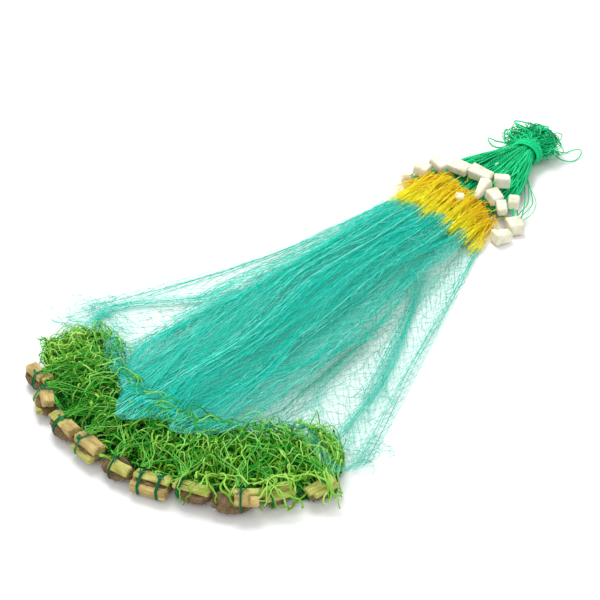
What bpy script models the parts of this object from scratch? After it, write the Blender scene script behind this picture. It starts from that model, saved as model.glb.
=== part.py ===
"""A gill net gathered lengthwise for storage.

The netting lies on a flat surface, folded back and forth into a long bundle with two
sheer wings. A yellow selvage and a row of foam floats close its head, the green head
rope is drawn together into a tied hank, and a fringe of thread ends and a foot line
join the other end to an arc of clay, reed and wood sinkers.

Frame: metres, +Z up, +Y from the sinkers to the hank, the bottom centre at the origin.
"""

import math

import bmesh
import bpy
from mathutils import Matrix, Vector

GAP = 0.0003  # kept between pieces that meet

# Netting
NET_THICKNESS = 0.0012
HEAD_Y = 0.150  # where the netting ends and the yellow selvage starts
SELVAGE_END_Y = 0.205
RIPPLE_HEIGHT = 0.0020
NET_STATIONS = 11
SELVAGE_STATIONS = 4
STEPS_PER_U = 12.0  # points of the folded section for each unit across

# Foot arc, which the fringe, the foot line and the sinkers share the centre of
ARC_X = -0.008
ARC_Y = -0.160
FOOT_LINE_RADIUS = 0.2247
FOOT_LINE_THICKNESS = 0.0024
FRINGE_INNER = 0.152
FRINGE_SPINE = 0.176
FRINGE_OUTER = 0.2210
FRINGE_START = math.radians(-136)
FRINGE_END = math.radians(-28)
FRINGE_TEETH = 22
FRINGE_HEIGHT = 0.026

# Head rope
ROPE_END_Y = 0.3620
NECK_RADIUS = 0.0155
NECK_Z = 0.0193
WRAP_CORD = 0.0028
WRAP_TURNS = 4
WRAP_Y = 0.345
LOOP_CORD = 0.0026

# Sinkers
LASHING_CORD = 0.0012
REED_WALL = 0.0042
REED_ARC = math.radians(76)
FLOAT_BEVEL = 0.0014

# From the layout below to the frame whose origin is the bottom centre of the net
LAYOUT_SHIFT = (-0.0014, -0.0024, 0.0)

# The foot edge of the netting in plan: u runs from the left wing (-1) to the right (+1)
FOOT_EDGE = (
    {"u": -1.00, "x": -0.205, "y": -0.236},
    {"u": -0.86, "x": -0.187, "y": -0.296},
    {"u": -0.66, "x": -0.120, "y": -0.254},
    {"u": -0.42, "x": -0.067, "y": -0.295},
    {"u": -0.15, "x": -0.008, "y": -0.308},
    {"u": 0.15, "x": 0.050, "y": -0.296},
    {"u": 0.42, "x": 0.096, "y": -0.266},
    {"u": 0.66, "x": 0.122, "y": -0.226},
    {"u": 0.90, "x": 0.196, "y": -0.254},
    {"u": 1.00, "x": 0.205, "y": -0.222},
)

# The head edge is straight, from HEAD_LEFT to HEAD_RIGHT
HEAD_LEFT = -0.080
HEAD_RIGHT = 0.070
SELVAGE_LEFT = -0.080
SELVAGE_RIGHT = 0.054
LEFT_WAIST = 0.026  # how far the left wing is drawn in halfway up
SELVAGE_SQUEEZE = 0.14  # how much closer the layers lie where the selvage is knotted

# Layers of the folded netting, from the floor up: each runs from the last turn to this
# one. The turns lie further out at the head, where the folds are drawn together.
TURNS = (
    {"fold": "right_wing", "u_foot": 1.00, "u_head": 1.00},
    {"fold": "left_overlap", "u_foot": -0.66, "u_head": -0.90},
    {"fold": "right_overlap", "u_foot": 0.34, "u_head": 0.78},
    {"fold": "left_bundle", "u_foot": -0.48, "u_head": -0.74},
    {"fold": "top_edge", "u_foot": 0.06, "u_head": 0.50},
)

# Height from one layer to the next, along the net from foot (v = 0) to head (v = 1)
LAYER_PITCH = (
    {"v": 0.00, "pitch": 0.0046},
    {"v": 0.30, "pitch": 0.0058},
    {"v": 0.70, "pitch": 0.0054},
    {"v": 1.00, "pitch": 0.0042},
)

# Rope fan from the floats to the neck: centre, half width and height along +Y
FAN_SECTIONS = (
    {"y": 0.2095, "x": -0.012, "half": 0.069, "low": 0.0000, "high": 0.0185},
    {"y": 0.2250, "x": -0.011, "half": 0.066, "low": 0.0000, "high": 0.0200},
    {"y": 0.2500, "x": -0.009, "half": 0.060, "low": 0.0000, "high": 0.0225},
    {"y": 0.2800, "x": -0.007, "half": 0.049, "low": 0.0000, "high": 0.0260},
    {"y": 0.3050, "x": -0.005, "half": 0.037, "low": 0.0005, "high": 0.0295},
    {"y": 0.3220, "x": -0.002, "half": 0.026, "low": 0.0020, "high": 0.0330},
)
NECK_X = 0.000
FAN_RIDGES = 13
FAN_RIDGE_DEPTH = 0.0012
FAN_POINTS = 40
FAN_FULLNESS = 0.85  # below 1, a section is fuller than an ellipse

# Bights past the neck: the mass of loops that the hitch leaves, along +Y
BIGHT_SECTIONS = (
    {"y": 0.3623, "x": 0.000, "half": 0.015, "low": 0.0045, "high": 0.0345},
    {"y": 0.3700, "x": -0.006, "half": 0.028, "low": 0.0010, "high": 0.0330},
    {"y": 0.3800, "x": -0.012, "half": 0.037, "low": 0.0000, "high": 0.0290},
    {"y": 0.3930, "x": -0.014, "half": 0.037, "low": 0.0000, "high": 0.0240},
    {"y": 0.4050, "x": -0.013, "half": 0.029, "low": 0.0000, "high": 0.0170},
    {"y": 0.4120, "x": -0.012, "half": 0.016, "low": 0.0000, "high": 0.0100},
)
BIGHT_RIDGES = 9
BIGHT_RIDGE_DEPTH = 0.0016

# Bights that stand clear of the mass: centre, half sizes, turn and tilt, and how much
# their cord rises and falls
LOOPS = (
    {"name": "rope_loop_left", "x": -0.0560, "y": 0.3640, "z": 0.0031,
     "long": 0.0150, "wide": 0.0080, "turn": 22.0, "tilt": 0.0, "rise": 0.0036},
    {"name": "rope_loop_top", "x": -0.0240, "y": 0.3900, "z": 0.0318,
     "long": 0.0240, "wide": 0.0150, "turn": 20.0, "tilt": -12.0, "rise": 0.0020},
    {"name": "rope_loop_right", "x": 0.0340, "y": 0.4000, "z": 0.0025,
     "long": 0.0195, "wide": 0.0105, "turn": 76.0, "tilt": 0.0, "rise": 0.0024},
)
LOOP_POINTS = 22

# Floats: centre, then turn about Z, pitch about X, roll about Y, in degrees; length,
# width and height; taper is how far the far end is pinched in
FLOATS = (
    {"x": -0.0880, "y": 0.2050, "z": 0.0085, "turn": 40, "pitch": 0, "roll": 8,
     "long": 0.015, "wide": 0.012, "high": 0.011, "taper": 0.45},
    {"x": -0.0720, "y": 0.2137, "z": 0.0250, "turn": 8, "pitch": 4, "roll": 4,
     "long": 0.018, "wide": 0.016, "high": 0.013, "taper": 0.05},
    {"x": -0.0598, "y": 0.2320, "z": 0.0280, "turn": -10, "pitch": -4, "roll": 5,
     "long": 0.020, "wide": 0.016, "high": 0.012, "taper": 0.25},
    {"x": -0.0345, "y": 0.2440, "z": 0.0290, "turn": -4, "pitch": 5, "roll": -4,
     "long": 0.026, "wide": 0.019, "high": 0.010, "taper": 0.08},
    {"x": -0.0030, "y": 0.2460, "z": 0.0310, "turn": 4, "pitch": 12, "roll": 4,
     "long": 0.029, "wide": 0.016, "high": 0.013, "taper": 0.15},
    {"x": 0.0160, "y": 0.2200, "z": 0.0290, "turn": -82, "pitch": 6, "roll": 14,
     "long": 0.028, "wide": 0.015, "high": 0.012, "taper": 0.66},
    {"x": 0.0250, "y": 0.2520, "z": 0.0300, "turn": 38, "pitch": -8, "roll": 0,
     "long": 0.018, "wide": 0.015, "high": 0.014, "taper": 0.10},
    {"x": 0.0360, "y": 0.2210, "z": 0.0265, "turn": -22, "pitch": 0, "roll": 10,
     "long": 0.018, "wide": 0.016, "high": 0.013, "taper": 0.12},
    {"x": 0.0590, "y": 0.2297, "z": 0.0240, "turn": -58, "pitch": 0, "roll": 4,
     "long": 0.015, "wide": 0.013, "high": 0.012, "taper": 0.08},
    {"x": 0.0530, "y": 0.2130, "z": 0.0215, "turn": -44, "pitch": 4, "roll": 14,
     "long": 0.016, "wide": 0.012, "high": 0.012, "taper": 0.10},
    {"x": 0.0780, "y": 0.2075, "z": 0.0088, "turn": -36, "pitch": 0, "roll": -4,
     "long": 0.021, "wide": 0.018, "high": 0.014, "taper": 0.12},
    {"x": 0.0790, "y": 0.1785, "z": 0.0088, "turn": 66, "pitch": 0, "roll": 6,
     "long": 0.022, "wide": 0.017, "high": 0.014, "taper": 0.30},
    {"x": 0.0050, "y": 0.1900, "z": 0.0260, "turn": 30, "pitch": 10, "roll": 0,
     "long": 0.011, "wide": 0.011, "high": 0.010, "taper": 0.05},
)

# Sinkers along the arc: angle, turn from the tangent, clay lump, and the strips tied on it
SINKERS = (
    {"angle": -121.3, "radius": 0.2440, "turn": 24, "long": 0.032, "wide": 0.021,
     "high": 0.019, "roll": 8, "strip": "wood", "strip_long": 0.025, "strip_wide": 0.013,
     "lash": 0.006},
    {"angle": -111.6, "radius": 0.2440, "turn": -10, "long": 0.035, "wide": 0.021,
     "high": 0.019, "roll": 16, "strip": "wood", "strip_long": 0.024, "strip_wide": 0.014,
     "lash": -0.008},
    {"angle": -100.8, "radius": 0.2430, "turn": 4, "long": 0.041, "wide": 0.023,
     "high": 0.021, "roll": 12, "strip": "reed", "strip_long": 0.038, "strip_wide": 0.018,
     "lash": -0.004},
    {"angle": -90.8, "radius": 0.2415, "turn": -4, "long": 0.036, "wide": 0.022,
     "high": 0.020, "roll": 10, "strip": "wood", "strip_long": 0.032, "strip_wide": 0.016,
     "lash": -0.007},
    {"angle": -81.2, "radius": 0.2440, "turn": 0, "long": 0.039, "wide": 0.024,
     "high": 0.022, "roll": -26, "strip": "reed", "strip_long": 0.033, "strip_wide": 0.013,
     "lash": -0.003},
    {"angle": -71.5, "radius": 0.2430, "turn": 3, "long": 0.042, "wide": 0.023,
     "high": 0.020, "roll": 14, "strip": "reed", "strip_long": 0.038, "strip_wide": 0.016,
     "lash": -0.011},
    {"angle": -61.7, "radius": 0.2430, "turn": -6, "long": 0.040, "wide": 0.023,
     "high": 0.020, "roll": 12, "strip": "reed", "strip_long": 0.037, "strip_wide": 0.018,
     "lash": -0.013},
    {"angle": -52.4, "radius": 0.2500, "turn": 4, "long": 0.042, "wide": 0.025,
     "high": 0.024, "roll": -30, "strip": "wood", "strip_long": 0.026, "strip_wide": 0.012,
     "lash": 0.008},
    {"angle": -43.0, "radius": 0.2385, "turn": 16, "long": 0.032, "wide": 0.020,
     "high": 0.019, "roll": 10, "strip": "reed", "strip_long": 0.034, "strip_wide": 0.015,
     "lash": -0.006},
    {"angle": -32.5, "radius": 0.2405, "turn": 20, "long": 0.030, "wide": 0.019,
     "high": 0.018, "roll": 8, "strip": "reed", "strip_long": 0.032, "strip_wide": 0.014,
     "lash": 0.005},
)
STRIP_HEIGHT = 0.0085  # of a wooden strip
BED_DEPTH = 0.33  # how far down the lump's half height its flat bed for the strip lies
LASHING_POINTS = 14
LUMP_LIFT = 0.0012  # a lump lies on the cord that goes round it
FLAT_SPOT_DEPTH = 0.0004


def clear_scene():
    """Remove every object that the file opened with."""
    for existing in list(bpy.data.objects):
        bpy.data.objects.remove(existing, do_unlink=True)


def principled(name, color, roughness):
    """A plain Principled material."""
    material = bpy.data.materials.new(name)
    material.use_nodes = True
    shader = material.node_tree.nodes["Principled BSDF"]
    shader.inputs["Base Color"].default_value = (*color, 1.0)
    shader.inputs["Roughness"].default_value = roughness
    shader.inputs["Metallic"].default_value = 0.0
    material.diffuse_color = (*color, 1.0)
    return material


def add_object(name, data, material, parent, collection):
    """Link one piece, parented to the net's empty, with its material."""
    piece = bpy.data.objects.new(name, data)
    if not data.materials:
        data.materials.append(material)
    collection.objects.link(piece)
    piece.parent = parent
    return piece


def mesh_from(bm, name, smooth_angle=None):
    """Turn a bmesh into a mesh, shaded smooth below an angle."""
    mesh = bpy.data.meshes.new(name)
    bm.to_mesh(mesh)
    bm.free()
    if smooth_angle is not None:
        mesh.shade_smooth()
        mesh.set_sharp_from_angle(angle=smooth_angle)
    return mesh


def track(rows, key, at, column):
    """Read a column at a value of the key, smoothly between the rows of a table."""
    last = len(rows) - 1
    i = 0
    while i < last - 1 and at > rows[i + 1][key]:
        i += 1
    before, after = rows[i], rows[i + 1]
    span = after[key] - before[key]
    t = min(1.0, max(0.0, (at - before[key]) / span))
    outer_left, outer_right = rows[max(i - 1, 0)], rows[min(i + 2, last)]
    run_in = after[key] - outer_left[key]
    run_out = outer_right[key] - before[key]
    slope_in = (after[column] - outer_left[column]) / run_in * span
    slope_out = (outer_right[column] - before[column]) / run_out * span
    t2, t3 = t * t, t * t * t
    return (
        before[column] * (2 * t3 - 3 * t2 + 1)
        + slope_in * (t3 - 2 * t2 + t)
        + after[column] * (3 * t2 - 2 * t3)
        + slope_out * (t3 - t2)
    )


def linear(rows, key, at, column):
    """Read a column at a value of the key, in straight runs between the rows."""
    for before, after in zip(rows, rows[1:]):
        if at <= after[key]:
            t = max(0.0, (at - before[key]) / (after[key] - before[key]))
            return before[column] + (after[column] - before[column]) * t
    return rows[-1][column]


def arc_point(radius, angle, z=0.0):
    """A point on the foot arc."""
    return Vector((ARC_X + radius * math.cos(angle), ARC_Y + radius * math.sin(angle), z))


# ---------------------------------------------------------------- netting


def middle_of(level):
    """Where a layer's turn lies across the net, halfway along it."""
    if level < 0:
        return -1.0
    return (TURNS[level]["u_foot"] + TURNS[level]["u_head"]) / 2


def folded_section(v):
    """The back-and-forth section as (u, level, bulge) from the left wing up to the top."""
    points = []
    start = -1.0
    for level, turn in enumerate(TURNS):
        end = turn["u_foot"] + (turn["u_head"] - turn["u_foot"]) * v
        steps = max(4, round(abs(middle_of(level) - middle_of(level - 1)) * STEPS_PER_U))
        for step in range(steps + 1):
            points.append((start + (end - start) * step / steps, level, 0.0))
        if level < len(TURNS) - 1:
            side = 1.0 if end > start else -1.0
            for turned in (0.25, 0.5, 0.75):
                lift = (1 - math.cos(math.pi * turned)) / 2
                points.append((end, level + lift, side * math.sin(math.pi * turned) / 2))
        start = end
    return points


def ripple(u, v, amount):
    """Soft lengthwise troughs and ridges, flat between them, that every layer follows."""
    drift = 0.05 * math.sin(5.0 * v)
    wave = math.sin(13.0 * (u + drift) + 0.4) + 0.6 * math.sin(21.0 * (u - drift) + 1.3)
    return amount * max(0.0, wave)


def net_point(u, level, bulge, v):
    """A point of the netting: v runs from the foot edge to the head edge."""
    foot_x = linear(FOOT_EDGE, "u", u, "x")
    foot_y = linear(FOOT_EDGE, "u", u, "y")
    head_x = HEAD_LEFT + (HEAD_RIGHT - HEAD_LEFT) * (u + 1) / 2
    waist = LEFT_WAIST * math.sin(math.pi * v) * max(0.0, -u) ** 2
    x = foot_x + (head_x - foot_x) * v + waist
    y = foot_y + (HEAD_Y - foot_y) * v
    pitch = track(LAYER_PITCH, "v", v, "pitch")
    z = NET_THICKNESS / 2 + level * pitch + ripple(u, v, RIPPLE_HEIGHT)
    return Vector((x + bulge * pitch, y, z))


def selvage_point(u, level, bulge, v):
    """A point of the selvage, which carries on the folds of the netting in tufts."""
    head_x = HEAD_LEFT + (HEAD_RIGHT - HEAD_LEFT) * (u + 1) / 2
    end_x = SELVAGE_LEFT + (SELVAGE_RIGHT - SELVAGE_LEFT) * (u + 1) / 2
    x = head_x + (end_x - head_x) * v
    y = HEAD_Y + GAP + (SELVAGE_END_Y - HEAD_Y - GAP) * v
    pitch = LAYER_PITCH[-1]["pitch"] * (1 - SELVAGE_SQUEEZE * v)
    z = NET_THICKNESS / 2 + level * pitch + ripple(u, 1.0, RIPPLE_HEIGHT * (1 - 0.3 * v))
    return Vector((x + bulge * pitch, y, z))


def folded_sheet(name, point, stations, v_fold):
    """An open sheet on the folded section, from station to station."""
    bm = bmesh.new()
    rows = []
    for station in range(stations + 1):
        v = station / stations
        section = folded_section(v if v_fold is None else v_fold)
        rows.append([bm.verts.new(point(*place, v)) for place in section])
    for low, high in zip(rows, rows[1:]):
        for i in range(len(low) - 1):
            bm.faces.new((low[i], low[i + 1], high[i + 1], high[i]))
    bmesh.ops.recalc_face_normals(bm, faces=bm.faces)
    return mesh_from(bm, name, math.radians(50))


def thicken(piece):
    """Give a sheet the thickness of the netting."""
    wall = piece.modifiers.new("thickness", "SOLIDIFY")
    wall.thickness = NET_THICKNESS
    wall.offset = 0.0


def build_netting(parent, collection):
    """The netting and its yellow selvage, each one folded sheet."""
    teal = principled("teal_netting", (0.10, 0.62, 0.53), 0.45)
    yellow = principled("yellow_selvage", (0.90, 0.66, 0.02), 0.50)
    sheet = folded_sheet("net_body", net_point, NET_STATIONS, None)
    thicken(add_object("net_body", sheet, teal, parent, collection))
    band = folded_sheet("head_selvage", selvage_point, SELVAGE_STATIONS, 1.0)
    thicken(add_object("head_selvage", band, yellow, parent, collection))


# ---------------------------------------------------------------- fringe and foot line


def fringe_top(radius, angle, edge):
    """Height of the fringe: lumpy, lower at its spine's edge and at the thread tips."""
    t = (radius - FRINGE_INNER) / (FRINGE_OUTER - FRINGE_INNER)
    profile = 0.62 + 0.9 * t - 1.15 * t * t
    lumps = 1.0 + 0.14 * math.sin(9.0 * angle + 0.6) + 0.10 * math.sin(23.0 * angle)
    return FRINGE_HEIGHT * profile * lumps * (0.72 if edge else 1.0)


def build_fringe(parent, collection):
    """The fringe as one comb: a spine along the foot edge with uneven teeth."""
    rings = [FRINGE_INNER, (FRINGE_INNER + FRINGE_SPINE) / 2, FRINGE_SPINE,
             FRINGE_SPINE + 0.016, FRINGE_SPINE + 0.031, FRINGE_OUTER]
    spine_rings = 2
    lines = []
    pitch = (FRINGE_END - FRINGE_START) / FRINGE_TEETH
    for tooth in range(FRINGE_TEETH):
        width = pitch * (0.70 + 0.08 * math.sin(2.1 * tooth))
        first = FRINGE_START + tooth * pitch
        lines += [(first, True), (first + width / 2, False), (first + width, True)]
    bm = bmesh.new()
    rows = []
    for index, (angle, edge) in enumerate(lines):
        tooth = index // 3
        row = []
        for ring, radius in enumerate(rings):
            reach = max(0, ring - spine_rings) / (len(rings) - 1 - spine_rings)
            sway = 0.10 * pitch * math.sin(1.7 * tooth) * reach
            narrow = (0.34 * reach) * (index % 3 - 1) * pitch * 0.35
            z = fringe_top(radius, angle, edge)
            row.append(bm.verts.new(arc_point(radius, angle + sway - narrow, z)))
        rows.append(row)
    for index in range(len(rows) - 1):
        in_gap = index % 3 == 2
        for ring in range(len(rings) - 1):
            if in_gap and ring >= spine_rings:
                continue
            near, far = rows[index], rows[index + 1]
            bm.faces.new((near[ring], near[ring + 1], far[ring + 1], far[ring]))
    walls = bmesh.ops.extrude_face_region(bm, geom=bm.faces[:])
    for item in walls["geom"]:
        if isinstance(item, bmesh.types.BMVert):
            item.co.z = 0.0
    bmesh.ops.recalc_face_normals(bm, faces=bm.faces)
    green = principled("green_fringe", (0.08, 0.55, 0.10), 0.6)
    mesh = mesh_from(bm, "foot_fringe", math.radians(40))
    add_object("foot_fringe", mesh, green, parent, collection)


def tube(name, points, thickness, closed, resolution):
    """A cord as a curve with filled caps, on straight runs between close points."""
    curve = bpy.data.curves.new(name, "CURVE")
    curve.dimensions = "3D"
    curve.bevel_depth = thickness / 2
    curve.bevel_resolution = resolution
    curve.use_fill_caps = not closed
    spline = curve.splines.new("POLY")
    spline.points.add(len(points) - 1)
    for slot, point in zip(spline.points, points):
        slot.co = (*point, 1.0)
    spline.use_cyclic_u = closed
    return curve


def build_foot_line(parent, collection):
    """The foot line, a cord along the arc just inside the sinkers."""
    start, end, count = math.radians(-131), math.radians(-27), 40
    points = []
    for step in range(count + 1):
        t = step / count
        z = FOOT_LINE_THICKNESS / 2 * 1.1 + 0.0035 * math.sin(math.pi * 9 * t) ** 2
        points.append(arc_point(FOOT_LINE_RADIUS, start + (end - start) * t, z))
    twine = principled("foot_line_twine", (0.03, 0.30, 0.14), 0.6)
    curve = tube("foot_line", points, FOOT_LINE_THICKNESS, False, 2)
    add_object("foot_line", curve, twine, parent, collection)


# ---------------------------------------------------------------- head rope


def ridged_ring(bm, row, ridges, depth):
    """One section of a rope mass: flat below, round above, with cord ridges."""
    centre_z = (row["low"] + row["high"]) / 2
    half_z = (row["high"] - row["low"]) / 2
    ring = []
    for i in range(FAN_POINTS):
        angle = 2 * math.pi * i / FAN_POINTS
        side, up = math.cos(angle), math.sin(angle)
        groove = depth * (1 - math.cos(2 * ridges * angle)) / 2 if up > 0 else 0.0
        full = FAN_FULLNESS if row["half"] > 1.5 * NECK_RADIUS else 1.0
        flat = 0.55 if up < 0 and row["low"] < 0.002 else 1.0
        x = row["x"] + (row["half"] - groove) * math.copysign(abs(side) ** full, side)
        z = centre_z + (half_z - groove) * math.copysign(abs(up) ** (full * flat), up)
        ring.append(bm.verts.new((x, row["y"], max(z, row["low"]))))
    return ring


def rope_mass(name, rows, ridges, depth):
    """A closed loft through the sections of a rope mass."""
    bm = bmesh.new()
    rings = [ridged_ring(bm, row, ridges, depth) for row in rows]
    for near, far in zip(rings, rings[1:]):
        for i in range(FAN_POINTS):
            j = (i + 1) % FAN_POINTS
            bm.faces.new((near[i], near[j], far[j], far[i]))
    bm.faces.new(rings[0])
    bm.faces.new(rings[-1])
    bmesh.ops.recalc_face_normals(bm, faces=bm.faces)
    return mesh_from(bm, name, math.radians(40))


def neck_rows():
    """The round neck that the wrap is wound on."""
    rows = []
    for y in (0.3370, ROPE_END_Y):
        rows.append({"y": y, "x": NECK_X, "half": NECK_RADIUS,
                     "low": NECK_Z - NECK_RADIUS, "high": NECK_Z + NECK_RADIUS})
    return tuple(rows)


def build_wrap(rope, parent, collection):
    """The wrap: parallel turns of cord round the neck, a turned band."""
    profile = bmesh.new()
    inner = NECK_RADIUS + GAP + 0.0002
    half = WRAP_CORD * WRAP_TURNS / 2
    outline = [(inner, half), (inner, -half)]
    for turn in range(WRAP_TURNS):
        centre = -half + WRAP_CORD * (turn + 0.5)
        for angle in (-75, -25, 25, 75):
            swing = math.radians(angle)
            outline.append((inner + WRAP_CORD * (0.5 + 0.5 * math.cos(swing)) * 0.95,
                            centre + WRAP_CORD / 2 * math.sin(swing)))
    verts = [profile.verts.new((x, 0.0, z)) for x, z in outline]
    for start, end in zip(verts, verts[1:] + verts[:1]):
        profile.edges.new((start, end))
    bmesh.ops.spin(profile, geom=profile.verts[:] + profile.edges[:], cent=(0, 0, 0),
                   axis=(0, 0, 1), angle=2 * math.pi, steps=22, use_merge=True)
    bmesh.ops.remove_doubles(profile, verts=profile.verts, dist=1e-6)
    bmesh.ops.recalc_face_normals(profile, faces=profile.faces)
    band = add_object("rope_wrap", mesh_from(profile, "rope_wrap", math.radians(50)),
                      rope, parent, collection)
    band.location = (NECK_X, WRAP_Y, NECK_Z)
    band.rotation_euler = (math.radians(90), 0, 0)


def build_head_rope(parent, collection):
    """The head rope: its fan, the wrap on its neck, its bights and three stray loops."""
    rope = principled("green_rope", (0.01, 0.50, 0.22), 0.45)
    fan = rope_mass("rope_fan", FAN_SECTIONS + neck_rows(), FAN_RIDGES, FAN_RIDGE_DEPTH)
    add_object("rope_fan", fan, rope, parent, collection)
    build_wrap(rope, parent, collection)
    bights = rope_mass("rope_bights", BIGHT_SECTIONS, BIGHT_RIDGES, BIGHT_RIDGE_DEPTH)
    add_object("rope_bights", bights, rope, parent, collection)
    for row in LOOPS:
        points = []
        for i in range(LOOP_POINTS):
            angle = 2 * math.pi * i / LOOP_POINTS
            points.append((row["long"] * math.cos(angle) * (1 + 0.12 * math.sin(angle)),
                           row["wide"] * math.sin(angle),
                           row["rise"] * math.sin(2 * angle + 0.5) / 2))
        loop = add_object(row["name"], tube(row["name"], points, LOOP_CORD, True, 2),
                          rope, parent, collection)
        loop.location = (row["x"], row["y"], row["z"])
        loop.rotation_euler = (math.radians(row["tilt"]), 0, math.radians(row["turn"]))


# ---------------------------------------------------------------- floats and sinkers


def box_mesh(name, size, taper=0.0):
    """A box along X whose far end is pinched in."""
    bm = bmesh.new()
    bmesh.ops.create_cube(bm, size=1.0, matrix=Matrix.Diagonal((*size, 1.0)))
    for vert in bm.verts:
        if vert.co.x > 0:
            vert.co.y *= 1.0 - taper
            vert.co.z = -size[2] / 2 + (vert.co.z + size[2] / 2) * (1.0 - taper * 0.5)
    return mesh_from(bm, name)


def build_floats(parent, collection):
    """Thirteen foam floats, cut blocks strung on the head rope."""
    foam = principled("ivory_foam", (0.86, 0.84, 0.74), 0.7)
    for number, row in enumerate(FLOATS, start=1):
        name = f"float_{number:02d}"
        mesh = box_mesh(name, (row["long"], row["wide"], row["high"]), row["taper"])
        block = add_object(name, mesh, foam, parent, collection)
        block.location = (row["x"], row["y"], row["z"])
        block.rotation_euler = [math.radians(row[key]) for key in ("pitch", "roll", "turn")]
        edges = block.modifiers.new("rounded_edges", "BEVEL")
        edges.width = FLOAT_BEVEL
        edges.segments = 1


def bed_plane(row):
    """Where a lump's flat bed for its strip lies: a point and a normal."""
    tilt = math.radians(row["roll"])
    normal = Vector((0.0, math.sin(tilt), math.cos(tilt)))
    centre = Vector((0.0, 0.0, LUMP_LIFT + row["high"] / 2))
    return centre + normal * (row["high"] / 2 * BED_DEPTH), normal


def lump_mesh(name, row):
    """A hand-shaped clay lump with a flat bed on top and a flat spot below."""
    bm = bmesh.new()
    bmesh.ops.create_uvsphere(bm, u_segments=10, v_segments=7, radius=0.5,
                              matrix=Matrix.Rotation(math.pi / 2, 4, "Y"))
    for vert in bm.verts:
        blunt = 1.0 - 0.12 * abs(2 * vert.co.x) ** 3
        vert.co.y *= blunt * (1.0 + 0.06 * math.sin(9.0 * vert.co.x + row["angle"]))
        vert.co = Vector((vert.co.x * row["long"], vert.co.y * row["wide"],
                          (vert.co.z + 0.5) * row["high"] + LUMP_LIFT))
    spot = Vector((0.0, 0.0, LUMP_LIFT + FLAT_SPOT_DEPTH))
    for place, facing in (bed_plane(row), (spot, Vector((0.0, 0.0, -1.0)))):
        cut = bmesh.ops.bisect_plane(bm, geom=bm.verts[:] + bm.edges[:] + bm.faces[:],
                                     plane_co=place, plane_no=facing, clear_outer=True)
        rim = [item for item in cut["geom_cut"] if isinstance(item, bmesh.types.BMEdge)]
        bmesh.ops.contextual_create(bm, geom=rim)
    bmesh.ops.recalc_face_normals(bm, faces=bm.faces)
    return mesh_from(bm, name, math.radians(50))


def reed_section(width):
    """The outline of a split reed: an outer arc, and its inner arc back."""
    radius = width / 2 / math.sin(REED_ARC / 2)
    outline = []
    for arc, turn in ((radius, 1), (radius - REED_WALL, -1)):
        for step in (-2, -1, 0, 1, 2):
            angle = turn * step / 4 * REED_ARC
            outline.append((arc * math.sin(angle), arc * math.cos(angle)))
    low = min(z for _, z in outline)
    return [(y, z - low) for y, z in outline]


def strip_mesh(name, row):
    """A strip of split reed, or a split wooden chunk, standing on its bed."""
    if row["strip"] == "wood":
        mesh = box_mesh(name, (row["strip_long"], row["strip_wide"], STRIP_HEIGHT), 0.10)
        mesh.transform(Matrix.Translation((0, 0, STRIP_HEIGHT / 2)))
        return mesh
    bm = bmesh.new()
    half = row["strip_long"] / 2
    rings = []
    for end in (-half, half):
        rings.append([bm.verts.new((end, y, z)) for y, z in reed_section(row["strip_wide"])])
    count = len(rings[0])
    for i in range(count):
        j = (i + 1) % count
        bm.faces.new((rings[0][i], rings[0][j], rings[1][j], rings[1][i]))
    bm.faces.new(rings[0])
    bm.faces.new(rings[1])
    bmesh.ops.recalc_face_normals(bm, faces=bm.faces)
    return mesh_from(bm, name, math.radians(40))


def lashing_points(row):
    """The lashing's loop round the lump and its strip, in the section that it crosses."""
    at = row["lash"]
    shrink = math.sqrt(max(0.05, 1 - (2 * at / row["long"]) ** 2))
    clearance = LASHING_CORD / 2 + GAP
    half_lump = row["wide"] / 2 * 1.06 * shrink
    strip_top = STRIP_HEIGHT
    if row["strip"] == "reed":
        strip_top = max(z for _, z in reed_section(row["strip_wide"]))
    tilt = math.radians(row["roll"])
    point, _ = bed_plane(row)
    half_strip = row["strip_wide"] / 2
    corners = []
    for y in (-half_strip, half_strip):
        for z in (GAP, GAP + strip_top):
            corners.append((point.y + y * math.cos(tilt) + z * math.sin(tilt),
                            point.z - y * math.sin(tilt) + z * math.cos(tilt)))
    low, high = LASHING_CORD / 2, max(z for _, z in corners) + clearance
    left = min(min(y for y, _ in corners), -half_lump) - clearance
    right = max(max(y for y, _ in corners), half_lump) + clearance
    middle_y, middle_z = (left + right) / 2, (low + high) / 2
    points = []
    for i in range(LASHING_POINTS):
        angle = 2 * math.pi * (i + 0.5) / LASHING_POINTS
        side, up = math.cos(angle), math.sin(angle)
        y = middle_y + (right - left) / 2 * 1.05 * math.copysign(abs(side) ** 0.5, side)
        z = middle_z + (high - low) / 2 * 1.05 * math.copysign(abs(up) ** 0.5, up)
        points.append((at, y, max(z, low)))
    return points


def build_sinkers(parent, collection):
    """Ten sinkers: a clay lump, the strip tied on it, and the lashing round both."""
    clay = principled("brown_clay", (0.24, 0.13, 0.07), 0.9)
    finishes = {"reed": principled("split_reed", (0.55, 0.50, 0.16), 0.55),
                "wood": principled("split_wood", (0.50, 0.33, 0.17), 0.7)}
    twine = principled("sinker_twine", (0.02, 0.26, 0.10), 0.6)
    for number, row in enumerate(SINKERS, start=1):
        name = f"sinker_{number:02d}"
        angle = math.radians(row["angle"])
        holder = bpy.data.objects.new(f"{name}_place", None)
        collection.objects.link(holder)
        holder.parent = parent
        holder.location = arc_point(row["radius"], angle)
        holder.rotation_euler = (0, 0, angle + math.radians(90 + row["turn"]))
        add_object(f"{name}_lump", lump_mesh(name, row), clay, holder, collection)
        strip = add_object(f"{name}_{row['strip']}", strip_mesh(name, row),
                           finishes[row["strip"]], holder, collection)
        point, normal = bed_plane(row)
        strip.location = point + normal * GAP
        strip.rotation_euler = (-math.radians(row["roll"]), 0, 0)
        loop = tube(f"{name}_lashing", lashing_points(row), LASHING_CORD, True, 1)
        add_object(f"{name}_lashing", loop, twine, holder, collection)


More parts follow.
